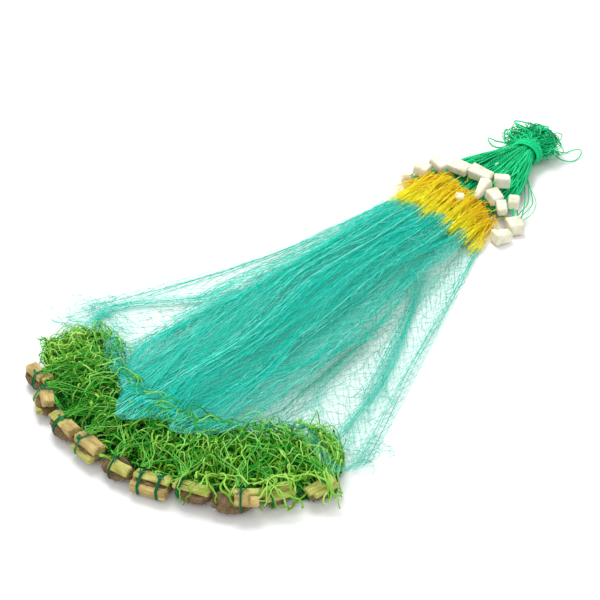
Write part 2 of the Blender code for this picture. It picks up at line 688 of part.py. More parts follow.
def main():
    """Model the whole net."""
    clear_scene()
    collection = bpy.data.collections.new("fishing_net")
    bpy.context.scene.collection.children.link(collection)
    net = bpy.data.objects.new("fishing_net_frame", None)
    net.location = LAYOUT_SHIFT
    collection.objects.link(net)
    build_netting(net, collection)
    build_fringe(net, collection)
    build_foot_line(net, collection)
    build_head_rope(net, collection)
    build_floats(net, collection)
    build_sinkers(net, collection)


if __name__ == "__main__":
    main()
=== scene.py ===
"""The looks of a gathered fishing net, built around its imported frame.

The netting is knotted from single threads in five folded layers, each with a faint
woven ground sheet under it. Yellow threads draw its head into tufts under a row of
foam floats, green cords run from the floats to a tied hank, and curly thread ends
reach from its foot to clay, reed and wood sinkers.
"""

from __future__ import annotations

import logging
import math
from dataclasses import dataclass, field
from enum import Enum

import bmesh
import bpy
import numpy as np
from mathutils import Matrix, Vector, noise

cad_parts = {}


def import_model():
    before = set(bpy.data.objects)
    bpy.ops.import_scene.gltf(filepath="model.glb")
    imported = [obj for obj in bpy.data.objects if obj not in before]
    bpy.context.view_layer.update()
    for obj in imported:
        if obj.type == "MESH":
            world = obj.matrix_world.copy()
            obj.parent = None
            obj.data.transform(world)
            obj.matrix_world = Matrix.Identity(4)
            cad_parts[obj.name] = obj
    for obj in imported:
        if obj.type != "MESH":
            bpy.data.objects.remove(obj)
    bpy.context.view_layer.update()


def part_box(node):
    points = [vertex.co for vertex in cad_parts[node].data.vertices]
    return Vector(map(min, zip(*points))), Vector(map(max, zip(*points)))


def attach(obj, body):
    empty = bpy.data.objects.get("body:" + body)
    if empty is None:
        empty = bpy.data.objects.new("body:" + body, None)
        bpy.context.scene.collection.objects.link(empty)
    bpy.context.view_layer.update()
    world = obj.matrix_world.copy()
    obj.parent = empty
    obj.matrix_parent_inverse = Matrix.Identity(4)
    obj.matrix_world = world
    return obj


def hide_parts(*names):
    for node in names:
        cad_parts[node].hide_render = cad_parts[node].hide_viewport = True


LOG = logging.getLogger("fishing_net")
ROOT = "root"
TAU = 2 * math.pi
ON_FLOOR = 0.0004  # the lowest middle of a fine thread that lies on the floor
TRANSPARENT_BOUNCES = 48
Color = tuple[float, float, float]


# ---------------------------------------------------------------- finishes


class Graph:
    """A material's nodes, with short calls for the ones that the finishes share."""

    def __init__(self, name: str) -> None:
        """Start a material of that name with its Principled shader."""
        self.material = bpy.data.materials.new(name)
        self.material.use_nodes = True
        self.tree = self.material.node_tree
        self.shader = self.tree.nodes["Principled BSDF"]

    def add(self, kind: str, **settings: object) -> bpy.types.Node:
        """Add a node.

        Args:
            kind: the node's type name.
            **settings: the node's properties.

        Returns:
            The new node.
        """
        node = self.tree.nodes.new(kind)
        for key, value in settings.items():
            setattr(node, key, value)
        return node

    def put(self, socket: bpy.types.NodeSocket, value: object) -> None:
        """Give an input a link or a constant."""
        if isinstance(value, bpy.types.NodeSocket):
            self.tree.links.new(value, socket)
        else:
            socket.default_value = value

    def set(self, **inputs: object) -> None:
        """Give the shader's inputs, named with underscores, a link or a constant."""
        for key, value in inputs.items():
            self.put(self.shader.inputs[key.replace("_", " ")], value)

    def place(self) -> bpy.types.NodeSocket:
        """The point in the piece's own metres."""
        return self.add("ShaderNodeTexCoord").outputs["Object"]

    def uv(self, name: str) -> bpy.types.NodeSocket:
        """The piece's own map of that name."""
        return self.add("ShaderNodeUVMap", uv_map=name).outputs["UV"]

    def value(self, name: str) -> bpy.types.NodeSocket:
        """The piece's own point value of that name."""
        return self.add("ShaderNodeAttribute", attribute_name=name).outputs["Fac"]

    def mapped(self, vector: bpy.types.NodeSocket,
               scale: tuple[float, float, float]) -> bpy.types.NodeSocket:
        """A vector scaled along its axes."""
        node = self.add("ShaderNodeMapping")
        self.put(node.inputs["Vector"], vector)
        node.inputs["Scale"].default_value = scale
        return node.outputs["Vector"]

    def noise(self, vector: bpy.types.NodeSocket, scale: float, detail: float = 3.0,
              roughness: float = 0.55) -> bpy.types.NodeSocket:
        """Cloudy noise from 0 to 1."""
        node = self.add("ShaderNodeTexNoise")
        self.put(node.inputs["Vector"], vector)
        node.inputs["Scale"].default_value = scale
        node.inputs["Detail"].default_value = detail
        node.inputs["Roughness"].default_value = roughness
        return node.outputs["Fac"]

    def math(self, operation: str, first: object,
             second: object = 0.0) -> bpy.types.NodeSocket:
        """One step of arithmetic."""
        node = self.add("ShaderNodeMath", operation=operation)
        self.put(node.inputs[0], first)
        self.put(node.inputs[1], second)
        return node.outputs[0]

    def ramp(self, factor: bpy.types.NodeSocket,
             stops: tuple[tuple[float, Color], ...]) -> bpy.types.NodeSocket:
        """A colour read from stops along a factor.

        Args:
            factor: what the ramp is read by, from 0 to 1.
            stops: the place and colour of each stop, in order.

        Returns:
            The colour.
        """
        node = self.add("ShaderNodeValToRGB")
        self.put(node.inputs["Fac"], factor)
        elements = node.color_ramp.elements
        while len(elements) < len(stops):
            elements.new(0.5)
        for element, (at, color) in zip(elements, stops):
            element.position = at
            element.color = (*color, 1.0)
        return node.outputs["Color"]

    def blend(self, factor: object, first: Color, second: Color) -> bpy.types.NodeSocket:
        """Two colours mixed."""
        node = self.add("ShaderNodeMix", data_type="RGBA")
        color_a, color_b, mixed = node.inputs[6], node.inputs[7], node.outputs[2]
        self.put(node.inputs[0], factor)
        self.put(color_a, (*first, 1.0))
        self.put(color_b, (*second, 1.0))
        return mixed

    def bump(self, height: bpy.types.NodeSocket, distance: float) -> None:
        """Raise the surface by a height, in metres of distance."""
        node = self.add("ShaderNodeBump")
        self.put(node.inputs["Height"], height)
        node.inputs["Distance"].default_value = distance
        node.inputs["Strength"].default_value = 1.0
        self.put(self.shader.inputs["Normal"], node.outputs["Normal"])


@dataclass(frozen=True)
class ThreadFinish:
    """Drawn or spun thread, its colour read from each thread's own tone."""

    name: str
    deep: Color
    fair: Color
    pale: Color
    roughness: float = 0.35
    lay: float = 0.0  # metres along a cord for one turn of its strands, 0 for none
    gloss: float = 0.25
    cloudy: float = 0.2  # how much of the tone is clouds that drift over all the threads
    cloud_scale: float = 90.0
    stops: tuple[float, float, float] = (0.1, 0.5, 0.92)  # the tones of its three colours
    strands: float = 3.0
    relief: float = 0.05  # how deep its strands lie, in lays

    def material(self) -> bpy.types.Material:
        """Make the material."""
        g = Graph(self.name)
        tone = g.value("tone")
        cloud = g.noise(g.place(), self.cloud_scale, 2.0)
        mixed = g.math("ADD", g.math("MULTIPLY", tone, 1.0 - self.cloudy),
                       g.math("MULTIPLY", cloud, self.cloudy))
        color = g.ramp(mixed, tuple(zip(self.stops, (self.deep, self.fair, self.pale))))
        g.set(Base_Color=color, Roughness=self.roughness, Specular_IOR_Level=self.gloss)
        if self.lay:
            split = g.add("ShaderNodeSeparateXYZ")
            g.put(split.inputs[0], g.uv("thread"))
            turns = g.math("DIVIDE", split.outputs["Y"], self.lay)
            around = g.math("MULTIPLY", split.outputs["X"], self.strands)
            wave = g.math("SINE", g.math("MULTIPLY", g.math("ADD", turns, around), TAU))
            g.bump(wave, self.lay * self.relief)
        return g.material


@dataclass(frozen=True)
class GroundFinish:
    """The fine ground of the netting: diamond meshes too fine to knot one by one."""

    name: str
    color: Color
    deep: Color
    veil: float  # how much shows between the threads
    thread: float  # how much shows on them
    mesh: tuple[float, float]  # width and length of a diamond
    line: float = 0.43  # how far from a diamond's middle its thread starts, in diamonds
    streaks: tuple[float, float, float] = (140.0, 5.0, 1.0)

    def material(self) -> bpy.types.Material:
        """Make the material, on a map in metres across and along the sheet."""
        g = Graph(self.name)
        split = g.add("ShaderNodeSeparateXYZ")
        g.put(split.inputs[0], g.uv("cloth"))
        across = g.math("DIVIDE", split.outputs["X"], self.mesh[0])
        along = g.math("DIVIDE", split.outputs["Y"], self.mesh[1])
        lines = None
        for slant in (g.math("ADD", across, along), g.math("SUBTRACT", across, along)):
            ridge = g.math("ABSOLUTE", g.math("SUBTRACT", g.math("FRACT", slant), 0.5))
            line = g.math("GREATER_THAN", ridge, self.line)
            lines = line if lines is None else g.math("MAXIMUM", lines, line)
        streak = g.noise(g.mapped(g.uv("cloth"), self.streaks), 1.0, 2.0)
        cover = g.math("MULTIPLY", lines, self.thread)
        veil = g.math("MULTIPLY", streak, 2.0 * self.veil)
        veil = g.math("MULTIPLY", veil, g.value("fade"))
        g.set(Base_Color=g.blend(streak, self.deep, self.color), Roughness=0.5,
              Alpha=g.math("MAXIMUM", cover, veil))
        return g.material


@dataclass(frozen=True)
class FoamFinish:
    """Cut closed-cell foam, a little soiled, with fine pores."""

    name: str = "cut_foam"
    soiled: Color = (0.62, 0.58, 0.40)
    ivory: Color = (0.80, 0.78, 0.62)
    clean: Color = (0.90, 0.88, 0.77)
    cloud_scale: float = 60.0
    pore_scale: float = 1400.0
    pore_depth: float = 0.00025
    light_depth: float = 0.004  # how far light runs on under the surface

    def material(self) -> bpy.types.Material:
        """Make the material."""
        g = Graph(self.name)
        place = g.place()
        cloud = g.noise(place, self.cloud_scale, 4.0)
        color = g.ramp(cloud, ((0.28, self.soiled), (0.5, self.ivory), (0.72, self.clean)))
        g.set(Base_Color=color, Roughness=0.75, Subsurface_Weight=0.15,
              Subsurface_Scale=self.light_depth)
        cells = g.add("ShaderNodeTexVoronoi")
        g.put(cells.inputs["Vector"], place)
        g.put(cells.inputs["Scale"], self.pore_scale)
        g.bump(cells.outputs["Distance"], self.pore_depth)
        return g.material


@dataclass(frozen=True)
class ClayFinish:
    """Dry, gritty, hand-pressed clay."""

    name: str = "gritty_clay"
    cracks: Color = (0.045, 0.026, 0.011)
    damp: Color = (0.150, 0.095, 0.042)
    dry: Color = (0.270, 0.180, 0.088)
    dusty: Color = (0.44, 0.33, 0.18)
    lump_scale: float = 110.0
    grit_scale: float = 900.0
    depth: float = 0.0016

    def material(self) -> bpy.types.Material:
        """Make the material."""
        g = Graph(self.name)
        place = g.place()
        broad = g.noise(place, self.lump_scale, 5.0, 0.6)
        grit = g.noise(place, self.grit_scale, 4.0, 0.7)
        both = g.math("ADD", g.math("MULTIPLY", broad, 0.6), g.math("MULTIPLY", grit, 0.4))
        color = g.ramp(both, ((0.30, self.cracks), (0.46, self.damp), (0.60, self.dry),
                              (0.75, self.dusty)))
        g.set(Base_Color=color, Roughness=0.95)
        g.bump(both, self.depth)
        return g.material


class Grain(Enum):
    """What a strip is split from."""

    REED = "reed"
    WOOD = "wood"


@dataclass(frozen=True)
class StripFinish:
    """Split reed or wood, with fibres along the strip's own length."""

    grain: Grain
    dark: Color
    middle: Color
    light: Color
    roughness: float
    fibre_scale: tuple[float, float, float] = (60.0, 1700.0, 1.0)
    stain_scale: tuple[float, float, float] = (45.0, 130.0, 1.0)
    depth: float = 0.0007

    def material(self) -> bpy.types.Material:
        """Make the material, on a map along and across the strip in metres."""
        g = Graph(f"split_{self.grain.value}")
        fibre_map = g.uv("fibre")
        fibres = g.noise(g.mapped(fibre_map, self.fibre_scale), 1.0, 3.0, 0.6)
        stain = g.noise(g.mapped(fibre_map, self.stain_scale), 1.0, 3.0)
        both = g.math("ADD", g.math("MULTIPLY", fibres, 0.5), g.math("MULTIPLY", stain, 0.5))
        color = g.ramp(both, ((0.30, self.dark), (0.48, self.middle), (0.66, self.light)))
        g.set(Base_Color=color, Roughness=self.roughness)
        g.bump(fibres, self.depth)
        return g.material


@dataclass(frozen=True)
class FloorFinish:
    """A plain white studio sweep."""

    name: str = "studio_white"
    color: Color = (0.93, 0.93, 0.93)

    def material(self) -> bpy.types.Material:
        """Make the material."""
        g = Graph(self.name)
        g.set(Base_Color=(*self.color, 1.0), Roughness=0.9, Specular_IOR_Level=0.1)
        return g.material


TEAL_THREAD = ThreadFinish("teal_thread", (0.0, 0.42, 0.31), (0.01, 0.85, 0.68),
                           (0.36, 0.96, 0.86), roughness=0.32, gloss=0.15)
SHEER_THREAD = ThreadFinish("sheer_thread", (0.0, 0.42, 0.26), (0.03, 0.66, 0.47),
                            (0.40, 0.90, 0.80), roughness=0.32, gloss=0.15)
YELLOW_THREAD = ThreadFinish("yellow_thread", (0.86, 0.46, 0.0), (1.0, 0.76, 0.0),
                             (1.0, 0.98, 0.02), roughness=0.4)
GOLD_THREAD = ThreadFinish("gold_thread", (0.48, 0.18, 0.0), (0.90, 0.48, 0.0),
                           (1.0, 0.80, 0.01), roughness=0.4)
FRINGE_THREAD = ThreadFinish("fringe_thread", (0.0, 0.04, 0.0), (0.02, 0.41, 0.02),
                             (0.36, 0.84, 0.16), roughness=0.38, gloss=0.14)
# Near-black painted shade for the fringe's bed.
FRINGE_SHADE = ThreadFinish("fringe_shade", (0.0, 0.012, 0.0), (0.0, 0.13, 0.004),
                            (0.04, 0.36, 0.03), roughness=0.5, gloss=0.05)
LIME_STRIP = ThreadFinish("lime_strip", (0.13, 0.20, 0.0), (0.20, 0.54, 0.03),
                          (0.48, 0.80, 0.16), roughness=0.42, gloss=0.16)
GREEN_ROPE = ThreadFinish("green_rope", (0.0, 0.28, 0.08), (0.0, 0.64, 0.23),
                          (0.05, 0.94, 0.42), roughness=0.34, lay=0.0045, gloss=0.14)
DARK_TWINE = ThreadFinish("dark_twine", (0.0, 0.05, 0.012), (0.004, 0.17, 0.05),
                          (0.04, 0.42, 0.15), roughness=0.5, lay=0.003)
TEAL_GROUND = GroundFinish("teal_ground", (0.0, 0.74, 0.58), (0.0, 0.40, 0.31),
                           veil=0.23, thread=0.30, mesh=(0.0032, 0.0150))
SHEER_GROUND = GroundFinish("sheer_ground", (0.05, 0.85, 0.70), (0.0, 0.60, 0.48),
                            veil=0.02, thread=0.16, mesh=(0.0060, 0.0130))
YELLOW_GROUND = GroundFinish("yellow_ground", (1.0, 0.86, 0.0), (0.92, 0.55, 0.0),
                             veil=0.30, thread=0.75, mesh=(0.003, 0.006))
REED = StripFinish(Grain.REED, (0.10, 0.09, 0.010), (0.42, 0.42, 0.07), (0.74, 0.72, 0.24),
                   roughness=0.5)
WOOD = StripFinish(Grain.WOOD, (0.12, 0.08, 0.016), (0.47, 0.34, 0.11), (0.76, 0.61, 0.25),
                   roughness=0.75)


# ---------------------------------------------------------------- making meshes


def finish_piece(piece: bpy.types.Object, material: bpy.types.Material, slot: str) -> None:
    """Link a piece, dress it, and let it ride on the net's only body."""
    if piece.name not in bpy.context.scene.collection.objects:
        bpy.context.scene.collection.objects.link(piece)
    piece.data.materials.clear()
    piece.data.materials.append(material)
    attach(piece, ROOT)
    LOG.info("%s: %d faces, %s", piece.name, len(piece.data.polygons), slot)


def unit(vectors: np.ndarray) -> np.ndarray:
    """Vectors scaled to length one."""
    return vectors / np.maximum(np.linalg.norm(vectors, axis=-1, keepdims=True), 1e-12)


def ease(t: np.ndarray | float) -> np.ndarray | float:
    """A smooth step from 0 to 1."""
    t = np.clip(t, 0.0, 1.0)
    return t * t * (3 - 2 * t)


def run_along(line: np.ndarray) -> np.ndarray:
    """How far along a line each of its points lies."""
    step = np.linalg.norm(np.diff(line, axis=0), axis=1)
    return np.concatenate([[0.0], np.cumsum(step)])


def read_along(places: np.ndarray, at: np.ndarray, line: np.ndarray) -> np.ndarray:
    """The points of a line at some places, where its own points have the places at."""
    return np.stack([np.interp(places, at, column) for column in line.T], axis=-1)


def even_window(points: int) -> np.ndarray:
    """Soft weights for rounding corners over that many points, of sum 1."""
    window = np.hanning(points)
    return window / window.sum()


class Threads:
    """Round or flat threads, joined into one mesh."""

    upright: float = 0.2  # how level a thread must set off for its side to be read from up

    def __init__(self, sides: int = 3) -> None:
        """Start with no threads, each of them to have that many sides."""
        self.sides = sides
        self.verts: list[np.ndarray] = []
        self.tones: list[np.ndarray] = []
        self.shapes: list[tuple[int, int]] = []
        self.lengths: list[np.ndarray] = []

    def add(self, paths: np.ndarray, radius: float | np.ndarray, tone: np.ndarray,
            flat: float = 1.0, twist: float = 0.0) -> None:
        """Add threads that have the same number of points.

        Args:
            paths: threads by points by three, in metres.
            radius: half the width, one number or threads by points.
            tone: from 0, deep, to 1, pale: one for each thread or threads by points.
            flat: thickness over width.
            twist: radians that a flat thread turns along its length.
        """
        count, points, _ = paths.shape
        tangent = unit(np.gradient(paths, axis=1))
        side = np.cross(tangent[:, 0], (0.0, 0.0, 1.0))
        weak = np.linalg.norm(side, axis=1) < self.upright
        side[weak] = np.cross(tangent[weak, 0], (1.0, 0.0, 0.0))
        sides = np.empty_like(paths)
        for i in range(points):
            along = (side * tangent[:, i]).sum(1, keepdims=True)
            side = unit(side - along * tangent[:, i])
            sides[:, i] = side
        ups = np.cross(tangent, sides)
        angle = np.arange(self.sides) * TAU / self.sides
        turn = np.linspace(0.0, twist, points)[None, :, None]
        width = np.broadcast_to(np.asarray(radius, float), (count, points))
        across, over = np.cos(angle), np.sin(angle) * flat
        first = across * np.cos(turn) - over * np.sin(turn)
        second = across * np.sin(turn) + over * np.cos(turn)
        ring = (first[..., None] * sides[:, :, None] + second[..., None] * ups[:, :, None])
        self.verts.append((paths[:, :, None] + ring * width[:, :, None, None]).reshape(-1, 3))
        shade = np.asarray(tone, float).reshape(count, -1)
        shade = np.broadcast_to(shade, (count, points)).ravel()
        self.tones.append(np.repeat(np.clip(shade, 0.0, 1.0), self.sides))
        step = np.linalg.norm(np.diff(paths, axis=1), axis=2)
        run = np.concatenate([np.zeros((count, 1)), np.cumsum(step, axis=1)], axis=1)
        self.lengths.append(run)
        self.shapes.append((count, points))

    def corners(self, first: int, count: int, points: int) -> tuple[np.ndarray, np.ndarray]:
        """The corners of one batch's walls and end caps, from its first vertex."""
        s = self.sides
        thread = np.arange(count)[:, None, None] * points * s
        ring = np.arange(points - 1)[None, :, None] * s
        k = np.arange(s)[None, None, :]
        near, beside = thread + ring + k, thread + ring + (k + 1) % s
        walls = np.stack([near, beside, beside + s, near + s], axis=-1).reshape(-1) + first
        start = np.arange(count)[:, None] * points * s + np.arange(s)[None, ::-1]
        end = np.arange(count)[:, None] * points * s + (points - 1) * s + np.arange(s)[None]
        return walls, np.concatenate([start, end]).reshape(-1) + first

    def build(self, name: str, finish: ThreadFinish, slot: str) -> bpy.types.Object:
        """Join the threads into one dressed piece.

        Args:
            name: the piece's name.
            finish: its finish, which reads the threads' tones.
            slot: the record's material slot.

        Returns:
            The piece.
        """
        s = self.sides
        walls, caps, uvs, cap_uvs, first = [], [], [], [], 0
        for (count, points), run in zip(self.shapes, self.lengths):
            wall, cap = self.corners(first, count, points)
            walls.append(wall)
            caps.append(cap)
            u = np.arange(s) / s
            quad_u = np.stack([u, u + 1 / s, u + 1 / s, u], axis=-1)
            quad_u = np.broadcast_to(quad_u, (count, points - 1, s, 4))
            low, high = run[:, :-1, None], run[:, 1:, None]
            quad_v = np.stack([low, low, high, high], axis=-1)
            quad_v = np.broadcast_to(quad_v, (count, points - 1, s, 4))
            uvs.append(np.stack([quad_u, quad_v], axis=-1).reshape(-1, 2))
            cap_uvs.append(np.zeros((cap.size, 2)))
            first += count * points * s
        corners = np.concatenate(walls + caps)
        wall_count = sum(wall.size for wall in walls) // 4
        cap_count = sum(cap.size for cap in caps) // s
        starts = np.concatenate([np.arange(wall_count) * 4,
                                 wall_count * 4 + np.arange(cap_count) * s])
        mesh = bpy.data.meshes.new(name)
        points = np.concatenate(self.verts)
        mesh.vertices.add(len(points))
        mesh.vertices.foreach_set("co", points.astype(np.float32).ravel())
        mesh.loops.add(len(corners))
        mesh.loops.foreach_set("vertex_index", corners.astype(np.int32))
        mesh.polygons.add(len(starts))
        mesh.polygons.foreach_set("loop_start", starts.astype(np.int32))
        mesh.update(calc_edges=True)
        mesh.shade_smooth()
        tone = mesh.attributes.new("tone", "FLOAT", "POINT")
        tone.data.foreach_set("value", np.concatenate(self.tones).astype(np.float32))
        layer = mesh.uv_layers.new(name="thread")
        layer.uv.foreach_set("vector", np.concatenate(uvs + cap_uvs).astype(np.float32).ravel())
        piece = bpy.data.objects.new(name, mesh)
        finish_piece(piece, finish.material(), slot)
        return piece


def grid_sheet(name: str, points: np.ndarray, flat: np.ndarray) -> bpy.types.Object:
    """An open sheet through rows of points.

    Args:
        name: the piece's name.
        points: rows by columns by three.
        flat: rows by columns by two, where each point lies on the flat sheet, in metres.

    Returns:
        The piece, not yet dressed.
    """
    rows, columns, _ = points.shape
    bm = bmesh.new()
    bmesh.ops.create_grid(bm, x_segments=columns - 1, y_segments=rows - 1, size=0.5)
    bm.verts.ensure_lookup_table()
    places = points.reshape(-1, 3)
    for vert in bm.verts:
        column = round((vert.co.x + 0.5) * (columns - 1))
        row = round((vert.co.y + 0.5) * (rows - 1))
        vert.index = row * columns + column
    order = [vert.index for vert in bm.verts]
    layer = bm.loops.layers.uv.new("cloth")
    maps = flat.reshape(-1, 2)
    for face in bm.faces:
        face.smooth = True
        for loop in face.loops:
            loop[layer].uv = maps[loop.vert.index]
    for vert, index in zip(bm.verts, order):
        vert.co = places[index]
    mesh = bpy.data.meshes.new(name)
    bm.to_mesh(mesh)
    bm.free()
    share = maps[order, 0] / maps[:, 0].max()
    fade = mesh.attributes.new("fade", "FLOAT", "POINT")
    fade.data.foreach_set("value", ease(5 * share) * ease(5 * (1 - share)))
    return bpy.data.objects.new(name, mesh)


def wander(rng: np.random.Generator, start: np.ndarray, heading: np.ndarray,
           length: np.ndarray, curl: float, points: int) -> tuple[np.ndarray, np.ndarray]:
    """Curly lines in plan.

    Args:
        rng: what the draws come from.
        start: where each line starts, lines by two.
        heading: which way each sets off, in radians.
        length: how long each is.
        curl: how sharply they turn.
        points: how many points a line has.

    Returns:
        The lines' x and their y, each lines by points.
    """
    t = np.linspace(0, 1, points)[None, :]
    count = len(heading)
    turn = heading[:, None] + 0.0 * t
    for beat in (0.6, 1.3, 2.6, 4.3):
        swing = rng.normal(0, 1, (count, 1)) * curl / (0.6 + beat) ** 0.9
        turn = turn + swing * np.sin(TAU * beat * t + rng.uniform(0, TAU, (count, 1)))
    step = length[:, None] / points
    return (start[:, :1] + np.cumsum(np.cos(turn) * step, axis=1),
            start[:, 1:2] + np.cumsum(np.sin(turn) * step, axis=1))


# ---------------------------------------------------------------- the frame's layout


@dataclass
class Layout:
    """Where the net lies. Its tables hold in a layout whose wrap lies at neck."""

    neck: tuple[float, float, float] = (0.0, 0.345, 0.0193)
    arc: tuple[float, float] = (-0.008, -0.160)
    head_y: float = 0.150
    selvage_y: float = 0.205
    head_x: tuple[float, float] = (-0.080, 0.070)
    selvage_x: tuple[float, float] = (-0.080, 0.054)
    waist: float = 0.026
    foot_u: tuple[float, ...] = (-1.00, -0.86, -0.66, -0.42, -0.15, 0.15, 0.42, 0.66,
                                 0.90, 1.00)
    foot_x: tuple[float, ...] = (-0.205, -0.187, -0.120, -0.067, -0.008, 0.050, 0.096,
                                 0.122, 0.196, 0.205)
    foot_y: tuple[float, ...] = (-0.236, -0.296, -0.254, -0.295, -0.308, -0.296, -0.266,
                                 -0.226, -0.254, -0.222)
    pitch_v: tuple[float, ...] = (0.0, 0.3, 0.7, 1.0)
    pitch_z: tuple[float, ...] = (0.0046, 0.0058, 0.0054, 0.0042)
    squeeze: float = 0.14  # how much closer the layers lie at the selvage's knots
    under: float = 0.0008  # how high the lowest layer lies
    ripple_height: float = 0.0020
    head_drift: float = -0.048  # how far aside, in u, the ripples have run at the head

    def __post_init__(self) -> None:
        """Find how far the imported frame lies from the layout, by the wrap on the neck."""
        low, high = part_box("rope_wrap")
        middle = (np.array(low) + np.array(high)) / 2
        self.shift = middle - np.array(self.neck)
        self.shift[2] = 0.0
        self.edge_u = np.linspace(-1.0, 1.0, 161)
        window = even_window(13)
        self.edge_x = self.softened(np.interp(self.edge_u, self.foot_u, self.foot_x), window)
        self.edge_y = self.softened(np.interp(self.edge_u, self.foot_u, self.foot_y), window)

    @staticmethod
    def softened(values: np.ndarray, window: np.ndarray) -> np.ndarray:
        """Round the corners of a line of values, keeping its ends."""
        half = len(window) // 2
        padded = np.concatenate([2 * values[0] - values[half:0:-1], values,
                                 2 * values[-1] - values[-2:-half - 2:-1]])
        return np.convolve(padded, window, mode="valid")

    def netting(self, u: np.ndarray, v: np.ndarray, level: np.ndarray | float) -> np.ndarray:
        """Points of the netting, u across from -1 to 1 and v from the foot to the head.

        Args:
            u: place across the net.
            v: place along it. Below 0 it runs on past the foot edge.
            level: which layer of the fold, counted from the floor.

        Returns:
            Points in the frame, in metres.
        """
        inside = np.clip(u, -1.0, 1.0)
        foot_x = np.interp(inside, self.edge_u, self.edge_x)
        foot_y = np.interp(inside, self.edge_u, self.edge_y)
        head_x = self.head_x[0] + (self.head_x[1] - self.head_x[0]) * (u + 1) / 2
        bend = self.waist * np.sin(math.pi * np.clip(v, 0, 1)) * np.maximum(0, -u) ** 2
        x = foot_x + (head_x - foot_x) * v + bend
        y = foot_y + (self.head_y - foot_y) * v
        pitch = np.interp(v, self.pitch_v, self.pitch_z)
        wave = self.ripple(u, 0.05 * np.sin(5.0 * v))
        z = self.under + level * pitch + self.ripple_height * np.maximum(0, wave)
        return np.stack(np.broadcast_arrays(x, y, z), axis=-1) + self.shift

    @staticmethod
    def ripple(u: np.ndarray, drift: np.ndarray | float) -> np.ndarray:
        """The long ripples that run from the foot to the head, side by side."""
        return np.sin(13.0 * (u + drift) + 0.4) + 0.6 * np.sin(21.0 * (u - drift) + 1.3)

    def selvage(self, u: np.ndarray, v: np.ndarray, level: np.ndarray | float) -> np.ndarray:
        """Points of the selvage, v from the netting's head to the knots."""
        head_x = self.head_x[0] + (self.head_x[1] - self.head_x[0]) * (u + 1) / 2
        end_x = self.selvage_x[0] + (self.selvage_x[1] - self.selvage_x[0]) * (u + 1) / 2
        x = head_x + (end_x - head_x) * v
        y = self.head_y + (self.selvage_y - self.head_y) * v
        pitch = self.pitch_z[-1] * (1 - self.squeeze * v)
        wave = self.ripple(u, self.head_drift)
        z = self.under + level * pitch + self.ripple_height * (1 - 0.3 * v) * np.maximum(0, wave)
        return np.stack(np.broadcast_arrays(x, y, z), axis=-1) + self.shift

    def on_arc(self, radius: np.ndarray, angle: np.ndarray, z: np.ndarray) -> np.ndarray:
        """Points round the foot arc, at a radius, an angle and a height."""
        x = self.arc[0] + radius * np.cos(angle)
        y = self.arc[1] + radius * np.sin(angle)
        return np.stack(np.broadcast_arrays(x, y, z), axis=-1) + self.shift


# ---------------------------------------------------------------- netting


@dataclass(frozen=True)
class Crease:
    """A band where netting is drawn together. Over 1, its pull folds the netting over."""

    at: float
    width: float
    pull: float
    phase: float = 0.0


@dataclass(frozen=True)
class Layer:
    """One layer of the folded netting, from one fold to the next."""

    name: str
    level: float
    start: tuple[float, float]  # u at the foot and at the head
    end: tuple[float, float]
    strands: int
    width: float  # the flat cloth's width
    over: float  # how far its foot runs out over the fringe, in its lobes
    side: float  # and how far beside them
    seed: int
    loose: int  # how many creases are drawn by chance
    pull: tuple[float, float]
    own: tuple[Crease, ...] = ()
    thin: float = 0.0  # how much further apart its threads lie at its start than at its end
    taper: float = 0.0  # how much further apart they lie at both its sides than between
    frizz: float = 0.32  # how far its knots slip to the side, in meshes
    ground: GroundFinish = TEAL_GROUND
    finish: ThreadFinish = TEAL_THREAD

    def creases(self) -> list[Crease]:
        """The layer's own creases and those drawn by chance, spread across it."""
        rng = np.random.default_rng(self.seed)
        found = list(self.own)
        for number in range(self.loose):
            at = (number + rng.uniform(0.15, 0.85)) / self.loose
            width = rng.uniform(0.30, 0.62) / self.loose
            found.append(Crease(at, width, rng.uniform(*self.pull), rng.uniform(0, TAU)))
        return found


@dataclass(frozen=True)
class Ruck:
    """A band of netting drawn together along a line of its own, foot or left end first."""

    path: tuple[tuple[float, float], ...]
    foot: float  # height at its first end
    head: float  # and at its last
    count: int


@dataclass(frozen=True)
class Tangle:
    """Loose curls of thread round a place on the netting."""

    u: float
    v: float
    count: int
    spread: float


